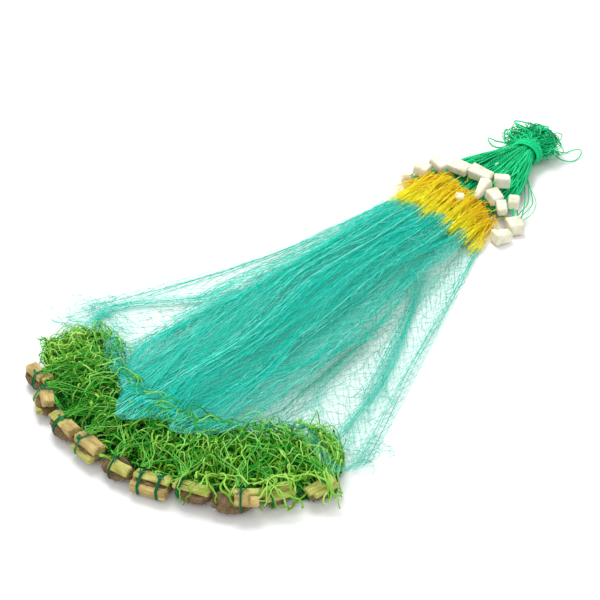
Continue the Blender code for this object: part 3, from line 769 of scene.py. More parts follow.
@dataclass
class Netting:
    """The netting: single knotted threads over their faint ground, layer by layer."""

    layout: Layout
    rows: int = 62
    thread: float = 0.00019
    lift: float = 0.0034  # how high a full crease stands
    floor_lift: float = 0.55  # how much of that is left on the floor's layer
    broad_sway: float = 0.058  # how far the folds swing to the side, in u
    fine_sway: float = 0.040
    tuft_pull: float = 0.034  # how far they are drawn together towards the selvage's tufts
    tuft_turns: float = TAU * 3.3
    on_fringe: float = 0.0285  # how high the foot lies on the fringe
    per_layer: float = 0.0010  # and how much higher with each layer
    slip: float = 0.26  # how far a knot slips along the net, in meshes
    fuzz: float = 0.0006
    bunch: float = 0.0024  # half the width of a ruck
    ruck_points: int = 44
    ground_grid: tuple[int, int] = (141, 27)
    doubled: tuple[tuple[float, int], ...] = ((-1.0, 9), (1.0, 7))  # a border's u, threads
    loose: tuple[Tangle, ...] = (Tangle(-0.90, 0.05, 44, 0.013), Tangle(-0.72, 0.02, 36, 0.015),
                                 Tangle(0.93, 0.06, 14, 0.008), Tangle(0.60, -0.02, 26, 0.012))
    tangle_points: int = 26
    reach: float = 0.212  # how far out loose threads may lie
    length: float = 0.42
    layers: tuple[Layer, ...] = (
        Layer("floor", 0.0, (-1.0, -1.0), (1.0, 1.0), 60, 0.30, 0.012, 0.034, 3, 5,
              (0.1, 0.5), (Crease(0.036, 0.020, 1.25, 0.6), Crease(0.105, 0.026, 1.30, 2.2),
                           Crease(0.885, 0.024, 1.45, 1.0), Crease(0.955, 0.018, 1.10, 3.4)),
              ground=SHEER_GROUND, finish=SHEER_THREAD),
        Layer("right", 1.0, (1.0, 1.0), (-0.60, -0.88), 104, 0.28, 0.020, 0.030, 11, 8,
              (0.3, 1.2), (Crease(0.085, 0.022, 1.50, 0.4), Crease(0.225, 0.024, 1.70, 1.6),
                           Crease(0.300, 0.020, 1.70, 2.6)), thin=0.60, frizz=0.45,
              ground=SHEER_GROUND, finish=SHEER_THREAD),
        Layer("middle", 2.0, (-0.61, -0.89), (0.36, 0.79), 186, 0.19, 0.030, 0.022, 23, 12,
              (0.8, 1.9), thin=-0.55, taper=0.40, frizz=1.5),
        Layer("bundle", 3.0, (0.36, 0.79), (-0.42, -0.72), 190, 0.165, 0.042, -0.004, 31, 11,
              (0.8, 1.9), thin=0.60, taper=0.40, frizz=1.5),
        Layer("top", 4.0, (-0.42, -0.72), (0.06, 0.50), 152, 0.125, 0.050, -0.010, 47, 9,
              (0.8, 1.9), thin=-0.30, taper=0.45, frizz=1.7),
    )
    rucks: tuple[Ruck, ...] = (
        Ruck(((-0.141, -0.286), (-0.166, -0.268), (-0.177, -0.240), (-0.165, -0.216),
              (-0.147, -0.195), (-0.106, -0.148), (-0.093, -0.111)), 0.004, 0.008, 20),
        Ruck(((0.051, 0.055), (0.085, -0.006), (0.115, -0.067), (0.132, -0.108),
              (0.145, -0.152), (0.159, -0.233)), 0.007, 0.003, 20),
        Ruck(((0.058, 0.059), (0.079, 0.001), (0.093, -0.035), (0.117, -0.095),
              (0.147, -0.154)), 0.008, 0.004, 16),
        Ruck(((0.070, -0.030), (0.083, -0.106), (0.088, -0.144), (0.091, -0.180),
              (0.102, -0.212)), 0.009, 0.006, 14),
        Ruck(((0.080, -0.080), (0.077, -0.125), (0.071, -0.165), (0.047, -0.215),
              (0.035, -0.254), (0.023, -0.290), (0.006, -0.311)), 0.018, 0.022, 26),
        Ruck(((-0.020, -0.319), (-0.052, -0.311), (-0.072, -0.289), (-0.081, -0.259),
              (-0.079, -0.222), (-0.055, -0.127)), 0.022, 0.018, 26),
        Ruck(((-0.024, -0.310), (-0.048, -0.210), (-0.046, -0.110), (-0.060, 0.010),
              (-0.052, 0.130)), 0.024, 0.021, 22),
        Ruck(((0.020, -0.330), (-0.008, -0.250), (0.004, -0.150), (-0.022, -0.050),
              (-0.020, 0.050), (-0.008, 0.130)), 0.026, 0.022, 22),
        Ruck(((0.046, -0.290), (0.048, -0.200), (0.024, -0.120), (0.010, -0.040),
              (0.028, 0.050), (0.030, 0.125)), 0.024, 0.021, 22),
        Ruck(((-0.078, -0.215), (-0.070, -0.140), (-0.036, -0.060), (-0.042, 0.040),
              (-0.026, 0.130)), 0.023, 0.022, 22))

    def folded(self, layer: Layer, s: np.ndarray, v: np.ndarray
               ) -> tuple[np.ndarray, np.ndarray]:
        """Points of one layer on its creases.

        Args:
            layer: the layer.
            s: place across the flat cloth, from 0 to 1.
            v: place along it, from 0 at the foot to 1 at the head.

        Returns:
            Points in the frame, and how high on a crease each lies, from 0 to 1.
        """
        at = self.past_foot(layer, s, v)
        start = layer.start[0] + (layer.start[1] - layer.start[0]) * np.clip(at, 0, 1)
        end = layer.end[0] + (layer.end[1] - layer.end[0]) * np.clip(at, 0, 1)
        move, rise = self.creased(layer, s, at)
        fade = ease(s * 18) * ease((1 - s) * 18)
        u = start + (end - start) * (s + move * fade)
        inside = 1 - np.clip(u, -1, 1) ** 4
        belly = np.sin(math.pi * np.clip(at, 0, 1)) ** 0.7 * inside
        sway = self.broad_sway * np.sin(5.1 * at + 2.6 * u + 1.9 * layer.level)
        sway = sway + self.fine_sway * np.sin(10.3 * at - 4.1 * u + 2.7 * layer.level)
        tuft = self.tuft_pull * np.sin(self.tuft_turns * u + 0.8) * ease((at - 0.55) / 0.45)
        places = self.layout.netting(u + sway * belly + tuft * inside, at, layer.level)
        billow = 0.0018 * np.sin(6.0 * at + 7.0 * s + layer.seed) + 0.0020
        lift = self.lift * (self.floor_lift if layer.level == 0.0 else 1.0)
        crest = 0.0011 * np.cos(self.tuft_turns * u + 0.8) * ease((at - 0.5) / 0.5)
        places[..., 2] += lift * rise * fade + (billow - crest) * min(layer.level, 1.0)
        over = self.on_fringe * ease((0.022 - at) / 0.075) + self.per_layer * layer.level
        places[..., 2] = np.maximum(places[..., 2], over * ease((0.05 - at) / 0.05))
        places[..., 2] = np.maximum(places[..., 2], ON_FLOOR)
        return places, np.clip(rise * fade / 1.7, 0.0, 1.0)

    def past_foot(self, layer: Layer, s: np.ndarray, v: np.ndarray) -> np.ndarray:
        """Places along the net, below 0 where a layer's foot runs out over the fringe."""
        across = layer.start[0] + (layer.end[0] - layer.start[0]) * s
        lobe = ease((across + 0.50) / 0.26) * ease((0.62 - across) / 0.30)
        lobe = lobe * (0.82 + 0.26 * np.sin(11 * across + layer.seed)
                       + 0.07 * np.sin(27 * across + 2 * layer.seed))
        reach = (layer.over * lobe + layer.side * (1 - lobe)) / 0.45
        return -reach + (1 + reach) * v

    @staticmethod
    def creased(layer: Layer, s: np.ndarray, at: np.ndarray) -> tuple[np.ndarray, np.ndarray]:
        """How far a layer's creases draw each point aside, and how high they stand."""
        move, rise = np.zeros_like(s + at), np.zeros_like(s + at)
        hold = (0.50 + 0.50 * ease(2.6 * at)) * (1 - 0.35 * ease(5.0 * (at - 0.8)))
        for crease in layer.creases():
            phase = crease.phase
            drift = 0.024 * np.sin(3.4 * at + phase) + 0.010 * np.sin(8.3 * at + 2.0 * phase)
            near = (s - crease.at - drift) / crease.width
            bell = np.exp(-near ** 2)
            swell = 0.70 + 0.45 * np.sin(5.2 * at + 2.0 * phase)
            pull = crease.pull * hold * np.clip(swell, 0.15, 1.0)
            move -= pull * crease.width * near * bell
            rise = np.maximum(rise, pull * bell)
        return move, rise

    def strands(self, layer: Layer) -> Threads:
        """The zigzag threads of one layer, which share their knots with their neighbours."""
        rng = np.random.default_rng(layer.seed + 1)
        strand = np.arange(layer.strands)[:, None]
        row = np.arange(self.rows + 1)[None, :]
        knot = strand + (strand + row) % 2
        slip = rng.normal(0, 1, (3, layer.strands + 1, self.rows + 1))[:, knot, row]
        slip[1, :, 0] = slip[1, :, -1] = 0.0
        s = np.clip((knot + layer.frizz * slip[0]) / layer.strands, 0, 1)
        s = s + layer.thin * s * (1 - s)
        s = s + layer.taper * np.sin(TAU * s) / TAU
        crinkle = 1.7 * np.sin(0.42 * knot + 9.0 * row / self.rows + layer.seed)
        crinkle = crinkle + 1.0 * np.sin(0.93 * knot - 15.0 * row / self.rows
                                         + 2 * layer.seed)
        s = np.clip(s + crinkle / layer.strands * np.sin(math.pi * s), 0, 1)
        stagger = 0.8 * np.sin(TAU * 5.3 * knot / layer.strands + layer.seed)
        v = np.clip((row + self.slip * slip[1] + stagger) / self.rows, 0, 1)
        paths, ridge = self.folded(layer, s, v)
        paths[..., 2] = np.maximum(paths[..., 2] + self.fuzz * slip[2], ON_FLOOR)
        place = strand / layer.strands
        streak = np.sin(TAU * (1.7 * place + 0.13 * layer.seed) + 2.2 * v)
        fine = np.sin(TAU * (6.1 * place + 0.4 * layer.seed) + 3.1 * np.sin(4.0 * v))
        # Painted highlight and shade: threads are paler on the crease ridges and deeper in the
        # valleys between them.
        tone = 0.30 + 0.34 * ridge + 0.10 * streak + 0.10 * fine
        # Besides a random tone for each thread, knots that stand higher are paler, as painted
        # highlight.
        tone = tone + rng.normal(0, 0.16, (layer.strands, 1)) + 0.13 * slip[2]
        # Painted light: threads are paler at the foot, where they lie in shade over the fringe.
        tone = tone + 0.28 * ease((0.06 - v) / 0.06)
        threads = Threads()
        threads.add(paths, self.thread, tone)
        return threads

    def bunched(self) -> Threads:
        """The rucks' own threads, gathered in bands that spread at both ends."""
        rng = np.random.default_rng(23)
        threads = Threads()
        t = np.linspace(0, 1, self.ruck_points)
        window = even_window(11)
        for ruck in self.rucks:
            spine = np.array(ruck.path)
            run = run_along(spine)
            line = read_along(t * run[-1], run, spine)
            line = np.stack([Layout.softened(column, window) for column in line.T], axis=-1)
            way = unit(np.gradient(line, axis=0))
            aside = np.stack([-way[:, 1], way[:, 0]], axis=-1)
            part = rng.normal(0, 1, (ruck.count, 1))
            weave = 0.8 * np.sin(rng.uniform(3, 9, (ruck.count, 1)) * t
                                 + rng.uniform(0, TAU, (ruck.count, 1)))
            open_ends = 1.0 + 4.0 * (2 * t - 1) ** 4
            zig = 0.0005 * np.where((np.arange(self.ruck_points)[None, :]
                                     + np.arange(ruck.count)[:, None]) % 2, 1.0, -1.0)
            off = self.bunch * (part + weave) * open_ends + zig
            height = ruck.foot + (ruck.head - ruck.foot) * t
            z = height + 0.0016 * rng.normal(0, 1, (ruck.count, 1)) * np.sin(math.pi * t)
            plan = line[None] + aside[None] * off[..., None] + self.layout.shift[:2]
            path = np.concatenate([plan, np.maximum(z, 0.0006)[..., None]], axis=-1)
            threads.add(path, self.thread * 1.1, rng.normal(0.46, 0.18, (ruck.count, 1)))
        return threads

    def ground(self, layer: Layer) -> bpy.types.Object:
        """The ground sheet of one layer."""
        columns, rows = self.ground_grid
        s, v = np.meshgrid(np.linspace(0, 1, columns), np.linspace(0, 1, rows))
        points, _ = self.folded(layer, s, v)
        points[..., 2] = np.maximum(points[..., 2] - ON_FLOOR, ON_FLOOR / 2)
        flat = np.stack([s * layer.width, v * self.length], axis=-1)
        return grid_sheet(f"netting_{layer.name}", points, flat)

    def borders(self) -> Threads:
        """The doubled threads of the outer edges, which slip off them here and there."""
        rng = np.random.default_rng(17)
        threads = Threads()
        v = np.linspace(0.0, 1.0, 70)[None, :]
        for side, count in self.doubled:
            inward = rng.uniform(-0.015, 0.13, (count, 1))
            slack = 0.016 * np.sin(rng.uniform(4, 9, (count, 1)) * v
                                   + rng.uniform(0, TAU, (count, 1)))
            u = side * (1.0 - inward + slack * np.sin(math.pi * v))
            paths = self.layout.netting(u, v, 0.0)
            paths[..., 2] += rng.uniform(0.001, 0.004, (count, 1))
            threads.add(paths, self.thread * 1.25, rng.normal(0.32, 0.12, count))
        return threads

    def tangles(self) -> Threads:
        """Loose curls of thread round the foot's two outer corners."""
        rng = np.random.default_rng(19)
        threads = Threads()
        t = np.linspace(0, 1, self.tangle_points)[None, :]
        for tangle in self.loose:
            root = self.layout.netting(np.full(tangle.count, tangle.u), tangle.v, 0.0)
            start = root[:, :2] + rng.normal(0, tangle.spread, (tangle.count, 2))
            x, y = wander(rng, start, rng.uniform(0, TAU, tangle.count),
                          rng.uniform(0.03, 0.07, tangle.count), 1.5, self.tangle_points)
            x = np.clip(x, -self.reach, self.reach)
            rise = rng.uniform(0.002, 0.012, (tangle.count, 1))
            z = 0.002 + rise * np.sin(math.pi * t) ** 2
            threads.add(np.stack([x, y, z], axis=-1), self.thread * 1.1,
                        rng.normal(0.36, 0.15, tangle.count))
        return threads

    def build(self) -> None:
        """Make every layer, each ground sheet with its knotted threads beside it."""
        grounds = {finish.name: finish.material() for finish in (TEAL_GROUND, SHEER_GROUND)}
        for layer in self.layers:
            sheet = self.ground(layer)
            finish_piece(sheet, grounds[layer.ground.name], "teal_netting")
            knots = self.strands(layer).build(f"netting_{layer.name}_threads",
                                              layer.finish, "teal_netting")
            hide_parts("net_body")
        self.bunched().build("netting_rucks", TEAL_THREAD, "teal_netting")
        self.borders().build("netting_borders", TEAL_THREAD, "teal_netting")
        self.tangles().build("netting_tangles", TEAL_THREAD, "teal_netting")


@dataclass(frozen=True)
class Tails:
    """A lot of golden threads that are rooted in the tufts."""

    count: int
    length: tuple[float, float]
    curl: float
    size: float
    back: bool  # laid back over the band, not every way


@dataclass
class Selvage:
    """The yellow head of the net, drawn from the netting into knotted tufts."""

    layout: Layout
    tufts: tuple[tuple[float, float, float], ...] = (
        (-0.074, 0.207, 0.010), (-0.056, 0.214, 0.018), (-0.036, 0.216, 0.023),
        (-0.016, 0.212, 0.024), (0.002, 0.206, 0.023), (0.018, 0.204, 0.021),
        (0.034, 0.202, 0.017), (0.049, 0.196, 0.012))
    reach: tuple[tuple[float, float], ...] = (  # of each level, in u
        (-1.0, 1.0), (-0.9, 1.0), (-0.9, 0.78), (-0.74, 0.78), (-0.74, 0.5))
    threads_per_level: int = 160
    points: int = 13
    fibre: float = 0.00028
    tails: tuple[Tails, ...] = (Tails(190, (0.022, 0.052), 0.35, 0.00042, True),
                                Tails(70, (0.010, 0.022), 1.3, 0.00055, False))
    tail_points: int = 20
    tuft_turns: float = 21.0
    ground_grid: tuple[int, int] = (121, 15)
    width: float = 0.17  # the flat band's
    length: float = 0.055

    def fibres(self) -> Threads:
        """Fine threads from the netting's head to the tufts, lemon to gold."""
        threads = Threads()
        rng = np.random.default_rng(51)
        knots = np.array(self.tufts)
        t = np.linspace(0, 1, self.points)[None, :, None]
        for level, reach in enumerate(self.reach):
            count = self.threads_per_level
            u = np.sort(rng.uniform(*reach, count))
            begin = 0.995 - 0.022 * u + 0.014 * np.sin(13 * u) - rng.exponential(0.014, count)
            head = self.layout.netting(u, begin, level)
            head[:, 2] += 0.0028
            x = head[:, 0] - self.layout.shift[0] + rng.normal(0, 0.003, count)
            pick = np.abs(x[:, None] - knots[None, :, 0]).argmin(1)
            end = knots[pick] + rng.normal(0, 1, (count, 3)) * (0.0042, 0.0035, 0.0030)
            end[:, 2] = np.maximum(end[:, 2] * (0.45 + 0.2 * level), 0.001)
            end = end + self.layout.shift
            blend = ease(t)
            path = head[:, None] * (1 - blend) + end[:, None] * blend
            path[..., 1] = (head[:, None] * (1 - t) + end[:, None] * t)[..., 1]
            swell = np.sin(math.pi * t[..., 0])
            path[..., 2] += 0.0030 * swell * rng.uniform(0.1, 1.1, (count, 1))
            wag = rng.uniform(0, TAU, (count, 1))
            path[..., 0] += 0.0007 * np.sin(9 * t[..., 0] + wag) * swell
            path[..., 2] = np.maximum(path[..., 2], ON_FLOOR)
            tone = rng.normal(0.92, 0.12, (count, 1)) - 0.52 * t[..., 0] ** 1.5
            threads.add(path, self.fibre, tone)
        return threads

    def knots(self) -> Threads:
        """Coarse golden threads, drawn back over the band and curled at the tufts."""
        threads = Threads(4)
        rng = np.random.default_rng(52)
        t = np.linspace(0, 1, self.tail_points)[None, :]
        for lot in self.tails:
            count = lot.count
            pick = rng.integers(0, len(self.tufts), count)
            root = np.array(self.tufts)[pick] + self.layout.shift
            root = root + rng.normal(0, 1, (count, 3)) * (0.006, 0.003, 0.001)
            heading = (rng.normal(-math.pi / 2, 0.28, count) if lot.back
                       else rng.uniform(0, TAU, count))
            x, y = wander(rng, root[:, :2], heading, rng.uniform(*lot.length, count), lot.curl,
                          self.tail_points)
            z = root[:, 2:] + rng.uniform(-0.001, 0.003, (count, 1)) + rng.uniform(
                0.001, 0.004, (count, 1)) * np.sin(math.pi * t)
            path = np.stack([x, y, np.maximum(z, 0.0008)], axis=-1)
            tone = rng.normal(0.5, 0.22, (count, 1)) + 0.4 * t * lot.back
            threads.add(path, lot.size, tone)
        return threads

    def ground(self) -> bpy.types.Object:
        """The selvage's own band of fine mesh, in one sheet over the tufts."""
        columns, rows = self.ground_grid
        u, v = np.meshgrid(np.linspace(-1, 1, columns), np.linspace(0, 1, rows))
        level = 3.2 - 2.4 * np.abs(u) ** 3
        pinch = 0.045 * v * np.sin(u * self.tuft_turns)
        points = self.layout.selvage(u + pinch, 0.02 + 0.92 * v, level)
        points[..., 2] += 0.0022 * (np.cos(u * self.tuft_turns) - 0.4) * (0.5 + v)
        points[..., 2] = np.maximum(points[..., 2], ON_FLOOR)
        flat = np.stack([(u + 1) / 2 * self.width, v * self.length], axis=-1)
        return grid_sheet("selvage_band", points, flat)

    def build(self) -> None:
        """Make the selvage."""
        band = self.ground()
        finish_piece(band, YELLOW_GROUND.material(), "yellow_selvage")
        fibres = self.fibres().build("selvage_fibres", YELLOW_THREAD, "yellow_selvage")
        knots = self.knots().build("selvage_knots", GOLD_THREAD, "yellow_selvage")
        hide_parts("head_selvage")


# ---------------------------------------------------------------- head rope


@dataclass(frozen=True)
class Bight:
    """A loop of rope that stands clear of the hank: its middle, half sizes and lean."""

    node: str
    middle: tuple[float, float, float]
    long: float
    wide: float
    turn: float
    tilt: float
    rise: float
    strands: int = 1


@dataclass
class HeadRope:
    """The head rope: cords from the floats to the neck, the wrap, and the hank."""

    layout: Layout
    cord: float = 0.00085
    fan_y: tuple[float, ...] = (0.2130, 0.2250, 0.2500, 0.2800, 0.3050, 0.3220, 0.3370, 0.3620)
    fan_x: tuple[float, ...] = (-0.012, -0.011, -0.009, -0.007, -0.005, -0.002, 0.0, 0.0)
    fan_half: tuple[float, ...] = (0.070, 0.066, 0.060, 0.049, 0.037, 0.026, 0.0155, 0.0155)
    fan_low: tuple[float, ...] = (0.0, 0.0, 0.0, 0.0, 0.0005, 0.0020, 0.0038, 0.0038)
    fan_high: tuple[float, ...] = (0.0175, 0.0200, 0.0225, 0.0260, 0.0295, 0.0330, 0.0348,
                                   0.0348)
    fan_cords: int = 250
    fan_points: int = 22
    bow: float = 2.2  # the fan's section: 2 is an ellipse, and more is squarer
    turns: int = 9
    turn_radius: float = 0.0172
    turn_pitch: float = 0.0016
    turn_cord: float = 0.0011
    loops: int = 150
    rings: int = 100
    loop_points: int = 26
    floats: int = 12  # on the headline
    loop_y: float = 0.3560  # where the loops leave the neck
    loop_top: float = 0.0385
    slack: tuple[tuple[tuple[float, float, float], float], ...] = (  # each line's shift, phase
        ((0.0, 0.0, 0.0), 0.0), ((0.0, -0.004, -0.004), 1.4), ((0.001, 0.005, -0.005), 2.6))
    hanging: tuple[tuple[float, float], ...] = (  # how far out each cord swings, its size
        (0.010, 0.0007), (0.016, 0.0006), (0.004, 0.0007), (0.020, 0.0005))
    beside: tuple[tuple[float, float], ...] = (  # a bight's strands: size, start of the turn
        (1.0, 0.0), (0.90, 0.25))
    hank: tuple[float, float, float] = (-0.016, 0.3820, 0.0165)
    hank_half: tuple[float, float, float] = (0.034, 0.0250, 0.0150)
    bights: tuple[Bight, ...] = (
        Bight("rope_loop_left", (-0.0560, 0.3640, 0.0051), 0.0150, 0.0080, 22.0, 0.0, 0.0036),
        Bight("rope_loop_top", (-0.0240, 0.3900, 0.0318), 0.0240, 0.0150, 20.0, -12.0, 0.0020,
              strands=2),
        Bight("rope_loop_right", (0.0340, 0.4000, 0.0045), 0.0195, 0.0105, 76.0, 0.0, 0.0024))

    def fan(self) -> Threads:
        """Cords drawn together from the row of floats to the neck."""
        threads = Threads(4)
        rng = np.random.default_rng(61)
        count, points = self.fan_cords, self.fan_points
        y = np.linspace(self.fan_y[0], self.fan_y[-1], points)[None, :]
        t = np.linspace(0, 1, points)[None, :]
        side = rng.uniform(-1.0, 1.0, (count, 1))
        side = np.sign(side) * np.abs(side) ** 0.92
        depth = rng.uniform(0.0, 1.0, (count, 1)) ** 0.45
        slack = np.sin(TAU * (rng.uniform(0.5, 1.1, (count, 1)) * t
                              + rng.random((count, 1)))) * np.sin(math.pi * t)
        a = np.clip(side + 0.13 * slack * rng.normal(0, 1, (count, 1)), -0.98, 0.98)
        read = [np.interp(y, self.fan_y, row) for row in
                (self.fan_x, self.fan_half, self.fan_low, self.fan_high)]
        x = read[0] + (read[1] - self.cord) * a
        roof = (1 - np.abs(a) ** self.bow) ** (1 / self.bow)
        middle = (read[2] + read[3]) / 2
        z = middle + (read[3] - middle - self.cord) * (2 * depth * 0.98 - 1) * roof
        wave = 0.0018 * np.sin(TAU * (1.6 * t + rng.random((count, 1))))
        z = np.maximum(z + wave * np.sin(math.pi * t), self.cord)
        path = np.stack(np.broadcast_arrays(x, y, z), axis=-1) + self.layout.shift
        size = rng.uniform(0.00085, 0.00135, (count, 1))
        threads.add(path, size, rng.normal(0.50, 0.20, (count, 1)) + 0.16 * np.sin(5 * a))
        return threads

    def wrap(self) -> Threads:
        """Turns of cord side by side round the neck."""
        threads = Threads(6)
        angle = np.linspace(0, TAU, 49)[None, :]
        number = np.arange(self.turns)[:, None]
        neck = np.array(self.layout.neck) + self.layout.shift
        radius = self.turn_radius + 0.0007 * np.sin(2 * angle + 1.3 * number)
        lean = 0.0042 * np.cos(angle + 0.4)
        y = neck[1] + (number - (self.turns - 1) / 2) * self.turn_pitch + lean
        x = neck[0] + 1.08 * radius * np.cos(angle)
        z = neck[2] + radius * np.sin(angle)
        path = np.stack(np.broadcast_arrays(x, y, z), axis=-1)
        path[..., 2] = np.maximum(path[..., 2], 0.0009)
        threads.add(path, self.turn_cord, 0.56 + 0.12 * np.sin(2.4 * np.arange(self.turns)))
        return threads

    def spread(self) -> np.ndarray:
        """Loops that leave the neck and come back to it."""
        rng = np.random.default_rng(63)
        count, points = self.loops, self.loop_points
        t = np.linspace(0, 1, points)[None, :]
        angle = np.radians(rng.uniform(50, 190, (count, 1)))
        long = rng.uniform(0.018, 0.052, (count, 1)) * (1 - 0.14 * np.abs(angle - 2.0))
        wide = rng.uniform(0.006, 0.020, (count, 1))
        low, high = rng.uniform(0.010, 0.032, (count, 1)), rng.uniform(0.001, 0.034, (count, 1))
        out = long * np.sin(math.pi * t) ** 0.7
        aside = -wide * np.sin(TAU * t) * (0.75 + 0.25 * np.cos(TAU * t))
        x = rng.normal(0, 0.005, (count, 1)) + out * np.cos(angle) - aside * np.sin(angle)
        y = self.loop_y + out * np.sin(angle) * 1.05 + aside * np.cos(angle)
        z = low + (high - low) * np.sin(math.pi * t) ** 1.3
        z = np.minimum(z, self.loop_top - 0.30 * np.maximum(y - 0.372, 0))
        return np.stack([x, y, np.maximum(z, self.cord)], axis=-1) + self.layout.shift

    def coils(self) -> np.ndarray:
        """Loops that lie every way in the hank."""
        rng = np.random.default_rng(64)
        count, points = self.rings, self.loop_points
        spot = rng.normal(0, 1, (count, 3))
        spot = unit(spot) * rng.uniform(0, 1, (count, 1)) ** 0.4
        middle = np.array(self.hank) + spot * np.array(self.hank_half) * 0.80
        t = np.linspace(0, 1, points)[None, :]
        begin = rng.uniform(0, TAU, (count, 1))
        angle = begin + TAU * rng.uniform(0.7, 1.15, (count, 1)) * t
        radius = rng.uniform(0.0070, 0.0155, (count, 1)) * (1 + 0.25 * np.sin(2 * angle))
        normal = unit(rng.normal(0, 1, (count, 3)) * (0.8, 0.8, 1.0))
        first = unit(np.cross(normal, (0.3, 1.0, 0.1)))
        second = np.cross(normal, first)
        path = middle[:, None] + radius[..., None] * (
            np.cos(angle)[..., None] * first[:, None]
            + np.sin(angle)[..., None] * second[:, None])
        out = (path - np.array(self.hank)) / (np.array(self.hank_half) * 1.22)
        far = np.linalg.norm(out, axis=-1, keepdims=True)
        path = np.array(self.hank) + (path - np.array(self.hank)) / np.maximum(far, 1.0)
        path[..., 2] = np.maximum(path[..., 2], self.cord)
        return path + self.layout.shift

    def stray(self, bight: Bight) -> bpy.types.Object:
        """One bight clear of the hank, with both its ends run back into it."""
        turn, tilt = math.radians(bight.turn), math.radians(bight.tilt)
        frame = (Matrix.Rotation(turn, 3, "Z") @ Matrix.Rotation(tilt, 3, "X"))
        middle = np.array(bight.middle)
        to_hank = np.array(self.hank)[:2] - middle[:2]
        facing = math.atan2(to_hank[1], to_hank[0]) - turn
        threads = Threads(6)
        for size, off in self.beside[:bight.strands]:
            angle = facing + 0.35 + off + np.linspace(0, TAU - 0.9, 34)
            ring = np.stack([bight.long * size * np.cos(angle),
                             bight.wide * size * np.sin(angle),
                             bight.rise * (np.cos(2 * angle) - 0.4)], axis=-1)
            ring = ring @ np.array(frame).T + middle
            ends = [np.array(self.hank) + np.array(self.hank_half) * offset
                    for offset in ((-0.2, -0.1, 0.3), (0.2, -0.3, -0.2))]
            path = np.concatenate([ends[0][None], ring, ends[1][None]])
            steps = np.linspace(0, len(path) - 1, 60)
            path = read_along(steps, np.arange(len(path)), path)
            for axis in range(3):
                path[2:-2, axis] = np.convolve(path[:, axis], np.ones(5) / 5, mode="valid")
            path[:, 2] = np.maximum(path[:, 2], self.cord)
            threads.add((path + self.layout.shift)[None], self.cord * (0.95 + 0.1 * off),
                        np.array([0.55 + off]))
        piece = threads.build(bight.node.replace("rope_loop", "bight"), GREEN_ROPE,
                              "green_rope")
        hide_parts(bight.node)
        return piece

    def headline(self) -> Threads:
        """The cord that the floats are strung on, and the slack that runs beside it."""
        centres = []
        for number in range(1, self.floats + 1):
            low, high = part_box(f"float_{number:02d}")
            centres.append((np.array(low) + np.array(high)) / 2)
        knots = np.array(centres)
        knots = knots[np.argsort(knots[:, 0] - 0.35 * knots[:, 1])]
        steps = np.linspace(0, len(knots) - 1, 90)
        smooth = read_along(steps, np.arange(len(knots)), knots)
        threads = Threads(6)
        for shift, phase in self.slack:
            path = smooth + np.array(shift)
            path[:, 1] += 0.0016 * np.sin(1.9 * steps + phase)
            path[:, 2] = np.maximum(path[:, 2] + 0.0012 * np.sin(2.7 * steps + phase), 0.001)
            threads.add(path[None], self.cord, np.array([0.55 + 0.1 * phase]))
        return threads

    def side_cords(self) -> Threads:
        """Cords that hang clear of the fan on its right, down to the last floats."""
        threads = Threads(6)
        low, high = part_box("float_11")
        t = np.linspace(0, 1, 40)
        for number, (out, size) in enumerate(self.hanging):
            begin = np.array([0.024 - 0.002 * number, 0.312, 0.012]) + self.layout.shift
            end = (np.array(low) + np.array(high)) / 2 + np.array([0.003 * number - 0.004,
                                                                   0.010, 0.006])
            path = begin + (end - begin) * t[:, None]
            path[:, 0] += out * np.sin(math.pi * t) ** 1.2
            path[:, 2] += 0.002 * np.sin(TAU * 1.5 * t + number) - 0.004 * np.sin(math.pi * t)
            path[:, 2] = np.maximum(path[:, 2], 0.0008)
            threads.add(path[None], size, np.array([0.35 + 0.12 * number]))
        return threads

    def build(self) -> None:
        """Make the rope."""
        fan = self.fan().build("rope_cords", GREEN_ROPE, "green_rope")
        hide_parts("rope_fan")
        wrap = self.wrap().build("rope_turns", GREEN_ROPE, "green_rope")
        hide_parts("rope_wrap")
        rng = np.random.default_rng(65)
        mass = Threads(4)
        for paths in (self.spread(), self.coils()):
            mass.add(paths, rng.uniform(0.0006, 0.0010, (len(paths), 1)),
                     rng.normal(0.50, 0.22, len(paths)))
        hank = mass.build("rope_hank", GREEN_ROPE, "green_rope")
        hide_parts("rope_bights")
        self.headline().build("headline", GREEN_ROPE, "green_rope")
        self.side_cords().build("side_cords", GREEN_ROPE, "green_rope")
        for bight in self.bights:
            self.stray(bight)


# ---------------------------------------------------------------- fringe


@dataclass(frozen=True)
class Curls:
    """A lot of fringe threads that are alike.

    Attributes:
        count: how many threads.
        points: points on each.
        length: shortest and longest thread.
        curl: how sharply they turn.
        height: lowest and highest rise of a thread's middle.
        base: nearest and furthest root from the arc's centre.
        span: where round the arc they are rooted, in degrees.
        outer: how far out from the arc's centre they reach.
        spill: how high threads ride over the sinkers, 0 for not at all.
    """

    count: int
    points: int
    length: tuple[float, float]
    curl: float
    height: tuple[float, float]
    base: tuple[float, float]
    span: tuple[float, float] = (-138.0, -24.0)
    outer: float = 0.229
    spill: float = 0.0


